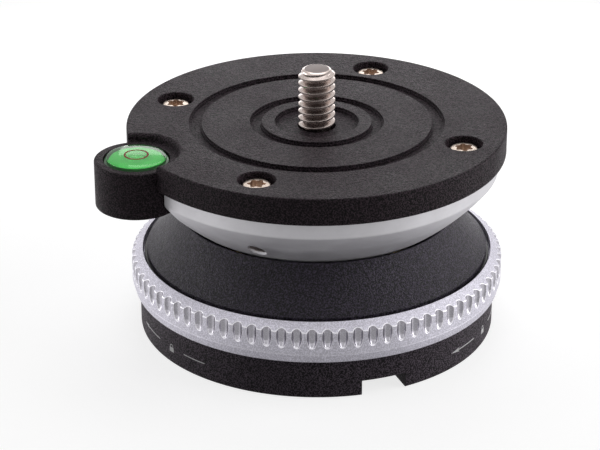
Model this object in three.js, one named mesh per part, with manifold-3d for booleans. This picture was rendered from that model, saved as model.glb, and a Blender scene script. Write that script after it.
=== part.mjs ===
// Leveling head for a tripod: a bowl-shaped camera table that tilts on a fluted lock ring.
// Millimetres, +Z up. The origin is on the head's axis at the foot face, and the bubble ear points to -X.
import * as THREE from 'three';
import { mergeVertices } from 'three/addons/utils/BufferGeometryUtils.js';
import Module from 'manifold-3d';

const wasm = await Module();
wasm.setup();

// Clearances and shared values
const GAP = 0.3; // running clearance between neighbouring pieces
const OVERRUN = 1; // how far every cutting shape passes the face it opens
const WELD = 1e-4; // points closer than this are one vertex
const TILT_LIMIT = THREE.MathUtils.degToRad(10);
const THIRD_TURN = (2 * Math.PI) / 3;
const QUARTER_TURN = Math.PI / 2;
const HEX_SIDES = 6;

// How finely round shapes are divided
const OUTER_SIDES = 50;
const INNER_SIDES = 28;
const SMALL_SIDES = 15;
const SCREW_SIDES = 10;
const CUTTER_SIDES = 6;

// Base
const BASE_INSET = 1.35; // the base stands this far inside the lock ring's edge
const BASE_HEIGHT = 6.9;
const FOOT_CHAMFER = 0.35;
const BASE_TURN = THREE.MathUtils.degToRad(-2); // the base stands turned by this under the table
const BOSS_WALL = 3.2; // wall round the tripod insert
const RIM_WIDTH = 7.45;
const RELIEF_DEPTH = 1;
const SLOT_WIDTH = 8;
const SLOT_HEIGHT = 2.8;
const SLOT_COUNT = 3;

// Tripod insert, with a bore for a 3/8 inch screw
const SOCKET_RADIUS = 4.1;
const INSERT_RADIUS = 7;
const INSERT_FLANGE_RADIUS = 9;
const INSERT_FLANGE_HEIGHT = 1.6;
const INSERT_RECESS = 0.3;
const SOCKET_CHAMFER = 0.7;

// Posts and body screws that join the base to the skirt
const POST_SETBACK = 3; // the posts' centres lie this far outside the skirt's bore
const POST_RADIUS = 2.8;
const BODY_SCREW_RADIUS = 1.5;
const BODY_SCREW_HEAD_RADIUS = 2.75;
const BODY_SCREW_HEAD_HEIGHT = 2.4;
const BODY_SCREW_SINK = 1.3; // the head's face above the foot face
const BODY_SCREW_MARGIN = 1.75; // from the screw's tip up to the seat ring

// Lock ring
const RING_RADIUS = 32.8;
const RING_HEIGHT = 7.05;
const RING_SLOPE = 2; // width of the sloping top face
const RING_RIDGE_DROP = 1.3; // the outer ridge lies this far below the top edge
const RING_CREASE_RISE = 1.65; // the lower taper starts this far above the bottom face
const RING_TAPER = 0.45;
const RING_WALL = 5.8;
const FLUTE_COUNT = 80;
const FLUTE_RADIUS = 0.94;
const FLUTE_NOSE = 1.88; // length of a flute's narrowing lower end
const FLUTE_LIFT = 1.07; // the flutes' lower ends start this far above the crease
const FLUTE_TOP_MARGIN = 1;

// Thrust rings and the stop of the lock ring
const THRUST_THICKNESS = 0.6;
const LOWER_THRUST_WIDTH = 1.1;
const THRUST_LIP = 0.45; // wall left outside the lower thrust ring
const STOP_SETBACK = 1.6; // the stop pin stands this far outside the ring's bore
const STOP_PIN_RADIUS = 0.5;
const STOP_PIN_DEPTH = 3;
const STOP_GROOVE_DEPTH = 1.5;
const STOP_HEADING = THREE.MathUtils.degToRad(30);
const RING_TRAVEL = THREE.MathUtils.degToRad(90);
const STOP_GROOVE_STEPS = 12;

// Draw plate and the clamp stack on the centre bolt
const DRAW_THICKNESS = 3.3;
const DRAW_CLEARANCE = 0.4;
const DRAW_LIFT = 0.375; // how far the stack rises when the ring is undone
const BOLT_RADIUS = 3;
const BOLT_HEAD_RADIUS = 5;
const BOLT_HEAD_HEIGHT = 1.5;
const BOLT_TIP = 0.8; // how far the bolt stands out of its nut
const DOME_RADIUS = 17;
const DOME_MARGIN = 0.715; // the dome stays this far inside the liner's edge at full tilt
const DOME_RIM = 0.9;
const DOME_SEAT_THICKNESS = 3.4;
const DOME_SEAT_RADIUS = 8.5;
const SPRING_RADIUS = 6.4;
const SPRING_THICKNESS = 0.5;
const SPRING_CONE = 0.4;
const NUT_FLATS = 10;
const NUT_HEIGHT = 4;

// Skirt: the flared body over the lock ring, and the seat ring in its mouth
const SKIRT_CLEARANCE = 0.7; // between its lower edge and the ring's top edge
const SKIRT_EDGE_RISE = 0.15; // its lower edge stands this far above the ring's top edge
const SKIRT_RIM = 0.9;
const SKIRT_HOLLOW = 0.5; // how far the flared face curves in from straight
const SKIRT_FLARE = 5.7; // the lower edge is this much wider than the mouth
const SEAT_LEDGE = 1.4;
const MOUTH_LIP = 0.7;
const SEAT_WIDTH = 3.3;
const SEAT_THICKNESS = 1;
const SEAT_SETBACK = 0.15; // the seat ring's top edge lies this far inside the mouth's inner edge

// Bowl
const BALL_RADIUS = 40;
const BOWL_WALL = 4;
const BOWL_CLEARANCE = 1.43; // between the ball's lowest point and the raised draw plate
const BOWL_HEADROOM = 2.145; // between the raised bolt and the plate
const LIP_INSET = 1.25; // the bowl's lip stands this far inside the plate's edge
const BORE_MARGIN = 0.4;
const CAVITY_WALL = 3.3; // from the plate screws' circle in to the cavity
const LINER_THICKNESS = 0.6;

// Top plate
const PLATE_THICKNESS = 4.8;
const PLATE_EDGE = 0.25;
const GROOVE_DEPTH = 0.8;
const POCKET_RADIUS = 7.3;
const POCKET_LAND = 2.25; // from the pocket to the inner groove
const INNER_GROOVE_WIDTH = 2.05;
const SCREW_LAND = 4.7; // from the outer groove to the screws' circle
const OUTER_GROOVE_WIDTH = 2.2;

// Plate screws
const PLATE_SCREW_INSET = 6.1; // from the plate's edge to the screws' circle
const PLATE_SCREW_COUNT = 4;
const PLATE_SCREW_RADIUS = 1.5;
const PLATE_SCREW_HEAD_RADIUS = 2.45;
const PLATE_SCREW_HEAD_HEIGHT = 2.2;
const PLATE_SCREW_SINK = 0.75;
const COUNTERBORE_MARGIN = 0.75;

// Ear with the bubble vial
const EAR_OFFSET = 0.2; // the vial's centre lies this far outside the plate's edge
const EAR_RADIUS = 7.2;
const EAR_DROP = 1.35; // the ear's top face lies this far below the plate's
const EAR_HEIGHT = 8.4;
const EAR_EDGE = 0.4;
const SCALLOP_FLARE = 0.8;
const VIAL_RADIUS = 5.35;
const VIAL_TOP_RADIUS = 5;
const VIAL_EDGE = 0.5;
const VIAL_STAND = 0.65; // the vial's top above the ear's top face
const VIAL_HEIGHT = 6.4;
const VIAL_WALL = 0.85;
const VIAL_ROOF = 1.1;
const VIAL_CROWN = 0.35;
const VIAL_BASE_HEIGHT = 1;

// Camera stud, 1/4 inch
const STUD_RADIUS = 3.175;
const STUD_STAND = 9.7;
const STUD_TIP_RADIUS = 2.1;
const STUD_TIP_HEIGHT = 1;
const STUD_FLANGE_RADIUS = 6;
const STUD_FLANGE_HEIGHT = 1.8;
const STUD_HOLE_MARGIN = 0.45;

// Radii of the lower half, worked out inwards from the lock ring
const ringTopRadius = RING_RADIUS - RING_SLOPE;
const ringBore = RING_RADIUS - RING_WALL;
const baseRadius = RING_RADIUS - BASE_INSET;
const reliefInside = INSERT_RADIUS + GAP + BOSS_WALL;
const reliefOutside = baseRadius - RIM_WIDTH;
const thrustOutside = baseRadius - THRUST_LIP;
const thrustInside = thrustOutside - LOWER_THRUST_WIDTH;
const stopRadius = ringBore + STOP_SETBACK;
const skirtRadius = ringTopRadius - SKIRT_CLEARANCE;
const mouthRadius = skirtRadius - SKIRT_FLARE;
const seatOutside = mouthRadius - MOUTH_LIP;
const seatInside = seatOutside - SEAT_WIDTH;
const skirtBore = seatInside - SEAT_LEDGE;
const postCircle = skirtBore + POST_SETBACK;
const drawRadius = ringBore - GAP;

// Spheres about the ball centre, and radii of the upper half, worked out from the dome outwards
const seatBall = BALL_RADIUS + GAP;
const hollowBall = BALL_RADIUS - BOWL_WALL;
const linerOuterBall = hollowBall - GAP;
const linerInnerBall = linerOuterBall - LINER_THICKNESS;
const domeBall = linerInnerBall - GAP;
const bowlBore = BOLT_RADIUS + BALL_RADIUS * Math.sin(TILT_LIMIT) + BORE_MARGIN;
const domeReach = Math.asin(DOME_RADIUS / domeBall) + TILT_LIMIT;
const linerEdge = linerOuterBall * Math.sin(domeReach) + DOME_MARGIN;
const cavityRadius = linerEdge + GAP;
const plateScrewCircle = cavityRadius + CAVITY_WALL;
const plateRadius = plateScrewCircle + PLATE_SCREW_INSET;
const lipRadius = plateRadius - LIP_INSET;
const outerGrooveEnd = plateScrewCircle - SCREW_LAND;
const outerGrooveRadius = outerGrooveEnd - OUTER_GROOVE_WIDTH;
const innerGrooveRadius = POCKET_RADIUS + POCKET_LAND;
const earReach = plateRadius + EAR_OFFSET;

// Heights, worked out from the foot face upwards
const insertTop = BASE_HEIGHT + INSERT_FLANGE_HEIGHT;
const drawBottom = insertTop + DRAW_CLEARANCE;
const drawTop = drawBottom + DRAW_THICKNESS;
const skirtFoot = drawTop + DRAW_LIFT + GAP;
const ringBottom = BASE_HEIGHT + GAP;
const ringTop = ringBottom + RING_HEIGHT;
const ringRidge = ringTop - RING_RIDGE_DROP;
const ringCrease = ringBottom + RING_CREASE_RISE;
const skirtEdge = ringTop + SKIRT_EDGE_RISE;
const skirtShelf = skirtEdge - SKIRT_RIM;
const ringShoulder = skirtShelf - GAP - THRUST_THICKNESS;
const ballCentre = drawTop + DRAW_LIFT + BOWL_CLEARANCE + BALL_RADIUS;
const mouthHeight = ballHeight(seatBall, mouthRadius);
const seatBottom = ballHeight(seatBall, seatInside) - SEAT_THICKNESS;
const bodyScrewTip = seatBottom - BODY_SCREW_MARGIN;
const domeSeat = ballCentre - domeBall + DOME_SEAT_THICKNESS;
const springHeight = SPRING_THICKNESS + SPRING_CONE;
const nutBottom = domeSeat + GAP + springHeight + GAP + springHeight + GAP;
const boltTop = nutBottom + NUT_HEIGHT + BOLT_TIP;
const plateBottom = boltTop + DRAW_LIFT + BOWL_HEADROOM;
const deck = plateBottom + PLATE_THICKNESS;
const grooveFloor = deck - GROOVE_DEPTH;
const earTop = deck - EAR_DROP;
const earBottom = earTop - EAR_HEIGHT;
const vialTop = earTop + VIAL_STAND;
const vialBottom = vialTop - VIAL_HEIGHT;

// Colour, roughness and metalness of each material
const FINISHES = {
  blackAluminium: [0x1d1c1f, 0.55, 0.5],
  silverAluminium: [0xb9b9bf, 0.38, 0.9],
  beadBlastedAluminium: [0xaeafb6, 0.45, 0.85],
  stainlessSteel: [0xb3aca3, 0.3, 1],
  blackenedSteel: [0x2a2a2c, 0.4, 0.9],
  springSteel: [0x7d7f83, 0.35, 1],
  nickel: [0xcfc6b8, 0.3, 1],
  brass: [0xb08d4c, 0.35, 1],
  acetal: [0x141416, 0.5, 0],
  liner: [0xe4e2da, 0.6, 0],
  acrylic: [0xdff5e4, 0.08, 0],
  bubbleFluid: [0x3fd467, 0.1, 0],
  vialWhite: [0xe9efe6, 0.4, 0],
};

// Turning a geometry into a solid that can be cut and joined, and back
function toSolid(geometry) {
  geometry.deleteAttribute('normal');
  geometry.deleteAttribute('uv');
  const merged = mergeVertices(geometry, WELD);
  const corners = merged.index.array;
  const kept = [];
  for (let i = 0; i < corners.length; i += 3) {
    const [a, b, c] = corners.slice(i, i + 3);
    if (a !== b && b !== c && c !== a) kept.push(a, b, c);
  }
  return new wasm.Manifold(new wasm.Mesh({
    numProp: 3,
    vertProperties: Float32Array.from(merged.attributes.position.array),
    triVerts: Uint32Array.from(kept),
  }));
}

function toGeometry(solid) {
  const mesh = solid.getMesh();
  const geometry = new THREE.BufferGeometry();
  geometry.setAttribute('position', new THREE.BufferAttribute(mesh.vertProperties, 3));
  geometry.setIndex(new THREE.BufferAttribute(mesh.triVerts, 1));
  geometry.computeVertexNormals();
  return geometry;
}

// Basic shapes. An outline is a list of [radius, height] points, running up its outer side.
function revolve(outline, sides) {
  const points = outline.map(([radius, height]) => new THREE.Vector2(Math.max(radius, 0), height));
  if (!points[0].equals(points.at(-1))) points.push(points[0].clone());
  return toSolid(new THREE.LatheGeometry(points, sides).rotateX(QUARTER_TURN));
}

function cylinder(radius, low, high, sides, x = 0, y = 0) {
  const shape = new THREE.CylinderGeometry(radius, radius, high - low, sides).rotateX(QUARTER_TURN);
  return toSolid(shape.translate(x, y, (low + high) / 2));
}

function box(width, depth, low, high, x, turn) {
  const shape = new THREE.BoxGeometry(width, depth, high - low).translate(x, 0, (low + high) / 2);
  return toSolid(shape.rotateZ(turn));
}

// A washer or tube with a plain section
function ring(inside, outside, low, high, sides) {
  return revolve([[inside, low], [outside, low], [outside, high], [inside, high]], sides);
}

// Height of a sphere's lower half at a radius from the axis, for spheres about the ball centre
function ballHeight(ball, radius) {
  return ballCentre - Math.sqrt(ball ** 2 - radius ** 2);
}

// Points of such a sphere between two radii
function ballArc(ball, from, to, steps) {
  const start = Math.asin(from / ball);
  const end = Math.asin(to / ball);
  return Array.from({ length: steps + 1 }, (_, i) => {
    const angle = THREE.MathUtils.lerp(start, end, i / steps);
    return [ball * Math.sin(angle), ballCentre - ball * Math.cos(angle)];
  });
}

function onCircle(radius, angle) {
  return [radius * Math.cos(angle), radius * Math.sin(angle)];
}

// The angles at which the foot slots, posts and plate screws stand
const slotAngles = Array.from({ length: SLOT_COUNT }, (_, i) => BASE_TURN - QUARTER_TURN + i * THIRD_TURN);
const postAngles = slotAngles.map((angle) => angle + THIRD_TURN / 2);
const plateScrewAngles = Array.from({ length: PLATE_SCREW_COUNT }, (_, i) => (i + 0.5) * QUARTER_TURN);
const stopAngle = postAngles[0] + STOP_HEADING;

// Base: foot rim with three slots, relief round the insert, and seats for screws, pin and thrust ring
function baseHousing() {
  const disc = revolve([
    [0, 0],
    [baseRadius - FOOT_CHAMFER, 0],
    [baseRadius, FOOT_CHAMFER],
    [baseRadius, BASE_HEIGHT],
    [0, BASE_HEIGHT],
  ], OUTER_SIDES);
  const above = BASE_HEIGHT + OVERRUN;
  let body = disc
    .subtract(cylinder(INSERT_RADIUS + GAP, -OVERRUN, above, INNER_SIDES))
    .subtract(ring(reliefInside, reliefOutside, -OVERRUN, RELIEF_DEPTH, INNER_SIDES))
    .subtract(ring(
      thrustInside - GAP, thrustOutside + GAP / 2, BASE_HEIGHT - THRUST_THICKNESS, above, INNER_SIDES));
  const slotLength = baseRadius + OVERRUN - reliefOutside + OVERRUN;
  const slotMiddle = (baseRadius + reliefOutside) / 2;
  for (const angle of slotAngles) {
    body = body.subtract(box(slotLength, SLOT_WIDTH, -OVERRUN, SLOT_HEIGHT, slotMiddle, angle));
  }
  const headRoom = BODY_SCREW_SINK + BODY_SCREW_HEAD_HEIGHT + GAP;
  for (const angle of postAngles) {
    const place = onCircle(postCircle, angle);
    body = body.subtract(cylinder(BODY_SCREW_HEAD_RADIUS + GAP, -OVERRUN, headRoom, SCREW_SIDES, ...place));
    body = body.subtract(cylinder(BODY_SCREW_RADIUS + GAP, 0, above, SCREW_SIDES, ...place));
  }
  const pinFloor = BASE_HEIGHT - STOP_PIN_DEPTH - GAP;
  const pinPlace = onCircle(stopRadius, stopAngle);
  return body.subtract(cylinder(STOP_PIN_RADIUS + GAP, pinFloor, above, SCREW_SIDES, ...pinPlace));
}

function tripodInsert() {
  return revolve([
    [SOCKET_RADIUS + SOCKET_CHAMFER, INSERT_RECESS],
    [INSERT_RADIUS, INSERT_RECESS],
    [INSERT_RADIUS, BASE_HEIGHT],
    [INSERT_FLANGE_RADIUS, BASE_HEIGHT],
    [INSERT_FLANGE_RADIUS, insertTop],
    [SOCKET_RADIUS, insertTop],
    [SOCKET_RADIUS, INSERT_RECESS + SOCKET_CHAMFER],
  ], INNER_SIDES);
}

function post(angle) {
  const place = onCircle(postCircle, angle);
  const sleeve = cylinder(POST_RADIUS, BASE_HEIGHT, skirtFoot, SMALL_SIDES, ...place);
  const bore = cylinder(
    BODY_SCREW_RADIUS + GAP, BASE_HEIGHT - OVERRUN, skirtFoot + OVERRUN, SCREW_SIDES, ...place);
  return sleeve.subtract(bore);
}

// A cap screw standing head up or head down, as an outline about its own axis
function capScrew(headRadius, headFace, headSeat, shankRadius, tip, angle, circle) {
  const up = headFace > headSeat;
  const outline = up
    ? [[0, tip], [shankRadius, tip], [shankRadius, headSeat], [headRadius, headSeat],
      [headRadius, headFace], [0, headFace]]
    : [[0, headFace], [headRadius, headFace], [headRadius, headSeat], [shankRadius, headSeat],
      [shankRadius, tip], [0, tip]];
  return revolve(outline, SCREW_SIDES).translate([...onCircle(circle, angle), 0]);
}

function bodyScrew(angle) {
  const seat = BODY_SCREW_SINK + BODY_SCREW_HEAD_HEIGHT;
  return capScrew(
    BODY_SCREW_HEAD_RADIUS, BODY_SCREW_SINK, seat, BODY_SCREW_RADIUS, bodyScrewTip, angle, postCircle);
}

function lowerThrustRing() {
  return ring(thrustInside, thrustOutside, BASE_HEIGHT - THRUST_THICKNESS, BASE_HEIGHT, INNER_SIDES);
}

function upperThrustRing() {
  const low = skirtShelf - THRUST_THICKNESS;
  return ring(ringBore + GAP, ringTopRadius - GAP, low, skirtShelf, INNER_SIDES);
}

function stopPin() {
  const low = BASE_HEIGHT - STOP_PIN_DEPTH;
  const high = ringBottom + STOP_GROOVE_DEPTH - GAP;
  return cylinder(STOP_PIN_RADIUS, low, high, SCREW_SIDES, ...onCircle(stopRadius, stopAngle));
}

// Lock ring: flutes with long narrowing lower ends that break out through the sloping top face
function flute(angle) {
  const low = ringCrease + FLUTE_LIFT;
  const end = low + FLUTE_NOSE;
  const slope = QUARTER_TURN / 2;
  const outline = [
    [0, low],
    [FLUTE_RADIUS * Math.sin(slope), end - FLUTE_NOSE * Math.cos(slope)],
    [FLUTE_RADIUS, end],
    [FLUTE_RADIUS, ringTop + FLUTE_TOP_MARGIN],
    [0, ringTop + FLUTE_TOP_MARGIN],
  ];
  return revolve(outline, CUTTER_SIDES).translate([RING_RADIUS, 0, 0])
    .rotate([0, 0, THREE.MathUtils.radToDeg(angle)]);
}

// The curved groove in the ring's bottom face in which the stop pin runs
function stopGroove() {
  const halfWidth = STOP_PIN_RADIUS + GAP;
  const margin = halfWidth / stopRadius;
  const from = stopAngle - RING_TRAVEL - margin;
  const to = stopAngle + margin;
  const shape = new THREE.Shape();
  shape.absarc(0, 0, stopRadius + halfWidth, from, to, false);
  shape.absarc(0, 0, stopRadius - halfWidth, to, from, true);
  shape.closePath();
  const depth = STOP_GROOVE_DEPTH + OVERRUN;
  const options = { depth, bevelEnabled: false, curveSegments: STOP_GROOVE_STEPS };
  const cut = new THREE.ExtrudeGeometry(shape, options);
  return toSolid(cut.translate(0, 0, ringBottom - OVERRUN));
}

function lockRing() {
  const outside = revolve([
    [0, ringBottom],
    [RING_RADIUS - RING_TAPER, ringBottom],
    [RING_RADIUS, ringCrease],
    [RING_RADIUS, ringRidge],
    [ringTopRadius, ringTop],
    [0, ringTop],
  ], FLUTE_COUNT);
  const body = outside
    .subtract(cylinder(ringTopRadius, ringShoulder, ringTop + OVERRUN, OUTER_SIDES))
    .subtract(cylinder(ringBore, ringBottom - OVERRUN, ringTop, INNER_SIDES));
  const pitch = (2 * Math.PI) / FLUTE_COUNT;
  const cutters = Array.from({ length: FLUTE_COUNT }, (_, i) => flute((i + 0.5) * pitch));
  const fluted = cutters.reduce((rest, cutter) => rest.subtract(cutter), body);
  return fluted.subtract(stopGroove());
}

// Clamp stack: the ring's thread moves the draw plate, which pulls the bolt and the dome down
function drawPlate() {
  const headRoom = drawBottom + BOLT_HEAD_HEIGHT + GAP + GAP;
  let plate = revolve([
    [BOLT_HEAD_RADIUS + GAP, drawBottom],
    [drawRadius, drawBottom],
    [drawRadius, drawTop],
    [BOLT_RADIUS + GAP, drawTop],
    [BOLT_RADIUS + GAP, headRoom],
    [BOLT_HEAD_RADIUS + GAP, headRoom],
  ], INNER_SIDES);
  for (const angle of postAngles) {
    const place = onCircle(postCircle, angle);
    plate = plate.subtract(
      cylinder(POST_RADIUS + GAP, drawBottom - OVERRUN, drawTop + OVERRUN, SMALL_SIDES, ...place));
  }
  return plate;
}

function centerBolt() {
  const headBottom = drawBottom + GAP;
  const headTop = headBottom + BOLT_HEAD_HEIGHT;
  return revolve([
    [0, headBottom],
    [BOLT_HEAD_RADIUS, headBottom],
    [BOLT_HEAD_RADIUS, headTop],
    [BOLT_RADIUS, headTop],
    [BOLT_RADIUS, boltTop],
    [0, boltTop],
  ], SMALL_SIDES);
}

function clampDome() {
  const bore = BOLT_RADIUS + GAP;
  const rimTop = ballHeight(domeBall, DOME_RADIUS) + DOME_RIM;
  return revolve([
    ...ballArc(domeBall, bore, DOME_RADIUS, 3),
    [DOME_RADIUS, rimTop],
    [DOME_RADIUS - DOME_RIM, rimTop],
    [DOME_SEAT_RADIUS, domeSeat],
    [bore, domeSeat],
  ], INNER_SIDES);
}

// A conical washer; the second one of the pair lies upside down on the first
function discSpring(low, cupUp) {
  const bore = BOLT_RADIUS + GAP;
  const innerLow = cupUp ? low : low + SPRING_CONE;
  const outerLow = cupUp ? low + SPRING_CONE : low;
  return revolve([
    [bore, innerLow],
    [SPRING_RADIUS, outerLow],
    [SPRING_RADIUS, outerLow + SPRING_THICKNESS],
    [bore, innerLow + SPRING_THICKNESS],
  ], SMALL_SIDES);
}

function lockNut() {
  const acrossCorners = NUT_FLATS / Math.cos(Math.PI / HEX_SIDES) / 2;
  const body = cylinder(acrossCorners, nutBottom, nutBottom + NUT_HEIGHT, HEX_SIDES);
  const bore = BOLT_RADIUS + GAP;
  return body.subtract(
    cylinder(bore, nutBottom - OVERRUN, nutBottom + NUT_HEIGHT + OVERRUN, SMALL_SIDES));
}

// Skirt: the flared face is a shallow curve from the mouth down to its lower edge
function flaredBody() {
  const rebateFloor = seatBottom - GAP;
  const middleRadius = (skirtRadius + mouthRadius) / 2 - SKIRT_HOLLOW;
  const middleHeight = (skirtEdge + mouthHeight) / 2 - SKIRT_HOLLOW;
  const flare = new THREE.QuadraticBezierCurve(
    new THREE.Vector2(skirtRadius, skirtEdge),
    new THREE.Vector2(middleRadius, middleHeight),
    new THREE.Vector2(mouthRadius, mouthHeight));
  const outside = revolve([
    [0, skirtFoot],
    [drawRadius - GAP, skirtFoot],
    [drawRadius - GAP, skirtShelf],
    [skirtRadius, skirtShelf],
    ...flare.getPoints(4).map((point) => [point.x, point.y]),
    [seatOutside, ballHeight(seatBall, seatOutside)],
    [0, ballHeight(seatBall, seatOutside)],
  ], OUTER_SIDES);
  let body = outside
    .subtract(cylinder(seatOutside, rebateFloor, mouthHeight, INNER_SIDES))
    .subtract(cylinder(skirtBore, skirtFoot - OVERRUN, mouthHeight, INNER_SIDES));
  for (const angle of postAngles) {
    const place = onCircle(postCircle, angle);
    body = body.subtract(cylinder(
      BODY_SCREW_RADIUS + GAP, skirtFoot - OVERRUN, bodyScrewTip + GAP, SCREW_SIDES, ...place));
  }
  return body;
}

// Seat ring: the bowl's lower face turns on its hollow inner face
function seatRing() {
  const outside = seatOutside - GAP;
  const high = ballHeight(seatBall, outside - SEAT_SETBACK);
  return revolve([
    [seatInside, seatBottom],
    [outside, seatBottom],
    [outside, high],
    ...ballArc(seatBall, seatInside, outside - SEAT_SETBACK, 3).reverse(),
  ], INNER_SIDES);
}

// Liner: a thin shell between the clamp dome and the inside of the bowl
function domeLiner() {
  return revolve([
    ...ballArc(linerOuterBall, bowlBore, linerEdge, 3),
    ...ballArc(linerInnerBall, bowlBore, linerEdge, 3).reverse(),
  ], INNER_SIDES);
}

function bowl() {
  const shell = revolve([
    [0, ballCentre - BALL_RADIUS],
    ...ballArc(BALL_RADIUS, 0, lipRadius, 7).slice(1),
    [lipRadius, plateBottom],
    [0, plateBottom],
  ], OUTER_SIDES);
  const cavity = revolve([
    [0, ballCentre - hollowBall],
    ...ballArc(hollowBall, 0, cavityRadius, 4).slice(1),
    [cavityRadius, plateBottom + OVERRUN],
    [0, plateBottom + OVERRUN],
  ], INNER_SIDES);
  const bore = cylinder(bowlBore, ballCentre - BALL_RADIUS - OVERRUN, deck, INNER_SIDES);
  let body = shell.subtract(cavity).subtract(bore);
  body = body.subtract(
    cylinder(EAR_RADIUS + GAP, earBottom - deck, deck, SMALL_SIDES, -earReach));
  for (const angle of plateScrewAngles) {
    const place = onCircle(plateScrewCircle, angle);
    body = body.subtract(cylinder(PLATE_SCREW_RADIUS + GAP, 0, deck, SCREW_SIDES, ...place));
  }
  return body;
}

// Top plate: a grooved disc with an ear that holds the bubble vial
function topPlate() {
  const above = deck + OVERRUN;
  const innerGrooveEnd = innerGrooveRadius + INNER_GROOVE_WIDTH;
  const flangeRoom = plateBottom + GAP + STUD_FLANGE_HEIGHT + GAP;
  const disc = revolve([
    [0, plateBottom],
    [plateRadius - PLATE_EDGE, plateBottom],
    [plateRadius, plateBottom + PLATE_EDGE],
    [plateRadius, deck - PLATE_EDGE],
    [plateRadius - PLATE_EDGE, deck],
    [0, deck],
  ], OUTER_SIDES)
    .subtract(ring(outerGrooveRadius, outerGrooveEnd, grooveFloor, above, OUTER_SIDES))
    .subtract(ring(innerGrooveRadius, innerGrooveEnd, grooveFloor, above, INNER_SIDES))
    .subtract(cylinder(POCKET_RADIUS, grooveFloor, above, INNER_SIDES))
    .subtract(cylinder(STUD_RADIUS + STUD_HOLE_MARGIN, plateBottom, above, SMALL_SIDES))
    .subtract(cylinder(STUD_FLANGE_RADIUS + GAP, plateBottom - OVERRUN, flangeRoom, SMALL_SIDES));
  const ear = revolve([
    [0, earBottom],
    [EAR_RADIUS - EAR_EDGE, earBottom],
    [EAR_RADIUS, earBottom + EAR_EDGE],
    [EAR_RADIUS, earTop - EAR_EDGE],
    [EAR_RADIUS - EAR_EDGE, earTop],
    [0, earTop],
  ], INNER_SIDES).translate([-earReach, 0, 0]);
  const scallop = revolve([
    [0, earTop],
    [EAR_RADIUS, earTop],
    [EAR_RADIUS + SCALLOP_FLARE, deck],
    [EAR_RADIUS + SCALLOP_FLARE, above],
    [0, above],
  ], INNER_SIDES).translate([-earReach, 0, 0]);
  const vialPocket = cylinder(
    VIAL_RADIUS + GAP, vialBottom - GAP, above, INNER_SIDES, -earReach);
  let body = disc.add(ear).subtract(scallop).subtract(vialPocket);
  const headFloor = deck - PLATE_SCREW_SINK - PLATE_SCREW_HEAD_HEIGHT - GAP;
  for (const angle of plateScrewAngles) {
    const place = onCircle(plateScrewCircle, angle);
    const counterbore = PLATE_SCREW_HEAD_RADIUS + COUNTERBORE_MARGIN;
    body = body.subtract(cylinder(counterbore, headFloor, above, SMALL_SIDES, ...place));
    body = body.subtract(
      cylinder(PLATE_SCREW_RADIUS + GAP, plateBottom - OVERRUN, deck, SCREW_SIDES, ...place));
  }
  return body;
}

function plateScrew(angle) {
  const face = deck - PLATE_SCREW_SINK;
  const seat = face - PLATE_SCREW_HEAD_HEIGHT;
  const tip = ballHeight(BALL_RADIUS, plateScrewCircle + PLATE_SCREW_RADIUS) + GAP;
  return capScrew(
    PLATE_SCREW_HEAD_RADIUS, face, seat, PLATE_SCREW_RADIUS, tip, angle, plateScrewCircle);
}

function cameraStud() {
  const flangeBottom = plateBottom + GAP;
  const flangeTop = flangeBottom + STUD_FLANGE_HEIGHT;
  const tip = deck + STUD_STAND;
  return revolve([
    [0, flangeBottom],
    [STUD_FLANGE_RADIUS, flangeBottom],
    [STUD_FLANGE_RADIUS, flangeTop],
    [STUD_RADIUS, flangeTop],
    [STUD_RADIUS, tip - STUD_TIP_HEIGHT],
    [STUD_TIP_RADIUS, tip],
    [0, tip],
  ], INNER_SIDES);
}

// Bubble vial: a clear cup with a crowned roof, its plug and its fluid
function vialCup() {
  const hollow = VIAL_RADIUS - VIAL_WALL;
  const roof = vialTop - VIAL_ROOF;
  return revolve([
    [hollow, vialBottom],
    [VIAL_RADIUS, vialBottom],
    [VIAL_RADIUS, vialTop - VIAL_EDGE],
    [VIAL_TOP_RADIUS, vialTop],
    [0, vialTop],
    [0, roof],
    [hollow / 2, roof - VIAL_CROWN / 4],
    [hollow, roof - VIAL_CROWN],
  ], INNER_SIDES).translate([-earReach, 0, 0]);
}

function vialPlug() {
  const radius = VIAL_RADIUS - VIAL_WALL - GAP;
  return cylinder(radius, vialBottom, vialBottom + VIAL_BASE_HEIGHT, INNER_SIDES, -earReach);
}

function vialFluid() {
  const radius = VIAL_RADIUS - VIAL_WALL - GAP;
  const low = vialBottom + VIAL_BASE_HEIGHT + GAP;
  const roof = vialTop - VIAL_ROOF - GAP;
  return revolve([
    [0, low],
    [radius, low],
    [radius, roof - VIAL_CROWN],
    [radius / 2, roof - VIAL_CROWN / 4],
    [0, roof],
  ], INNER_SIDES).translate([-earReach, 0, 0]);
}

// Assembly: every piece is a named mesh in its own finish
const head = new THREE.Group();

function add(name, solid, finish) {
  const [color, roughness, metalness] = FINISHES[finish];
  const material = new THREE.MeshStandardMaterial({ color, roughness, metalness });
  const mesh = new THREE.Mesh(toGeometry(solid), material);
  mesh.name = name;
  head.add(mesh);
}

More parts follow.
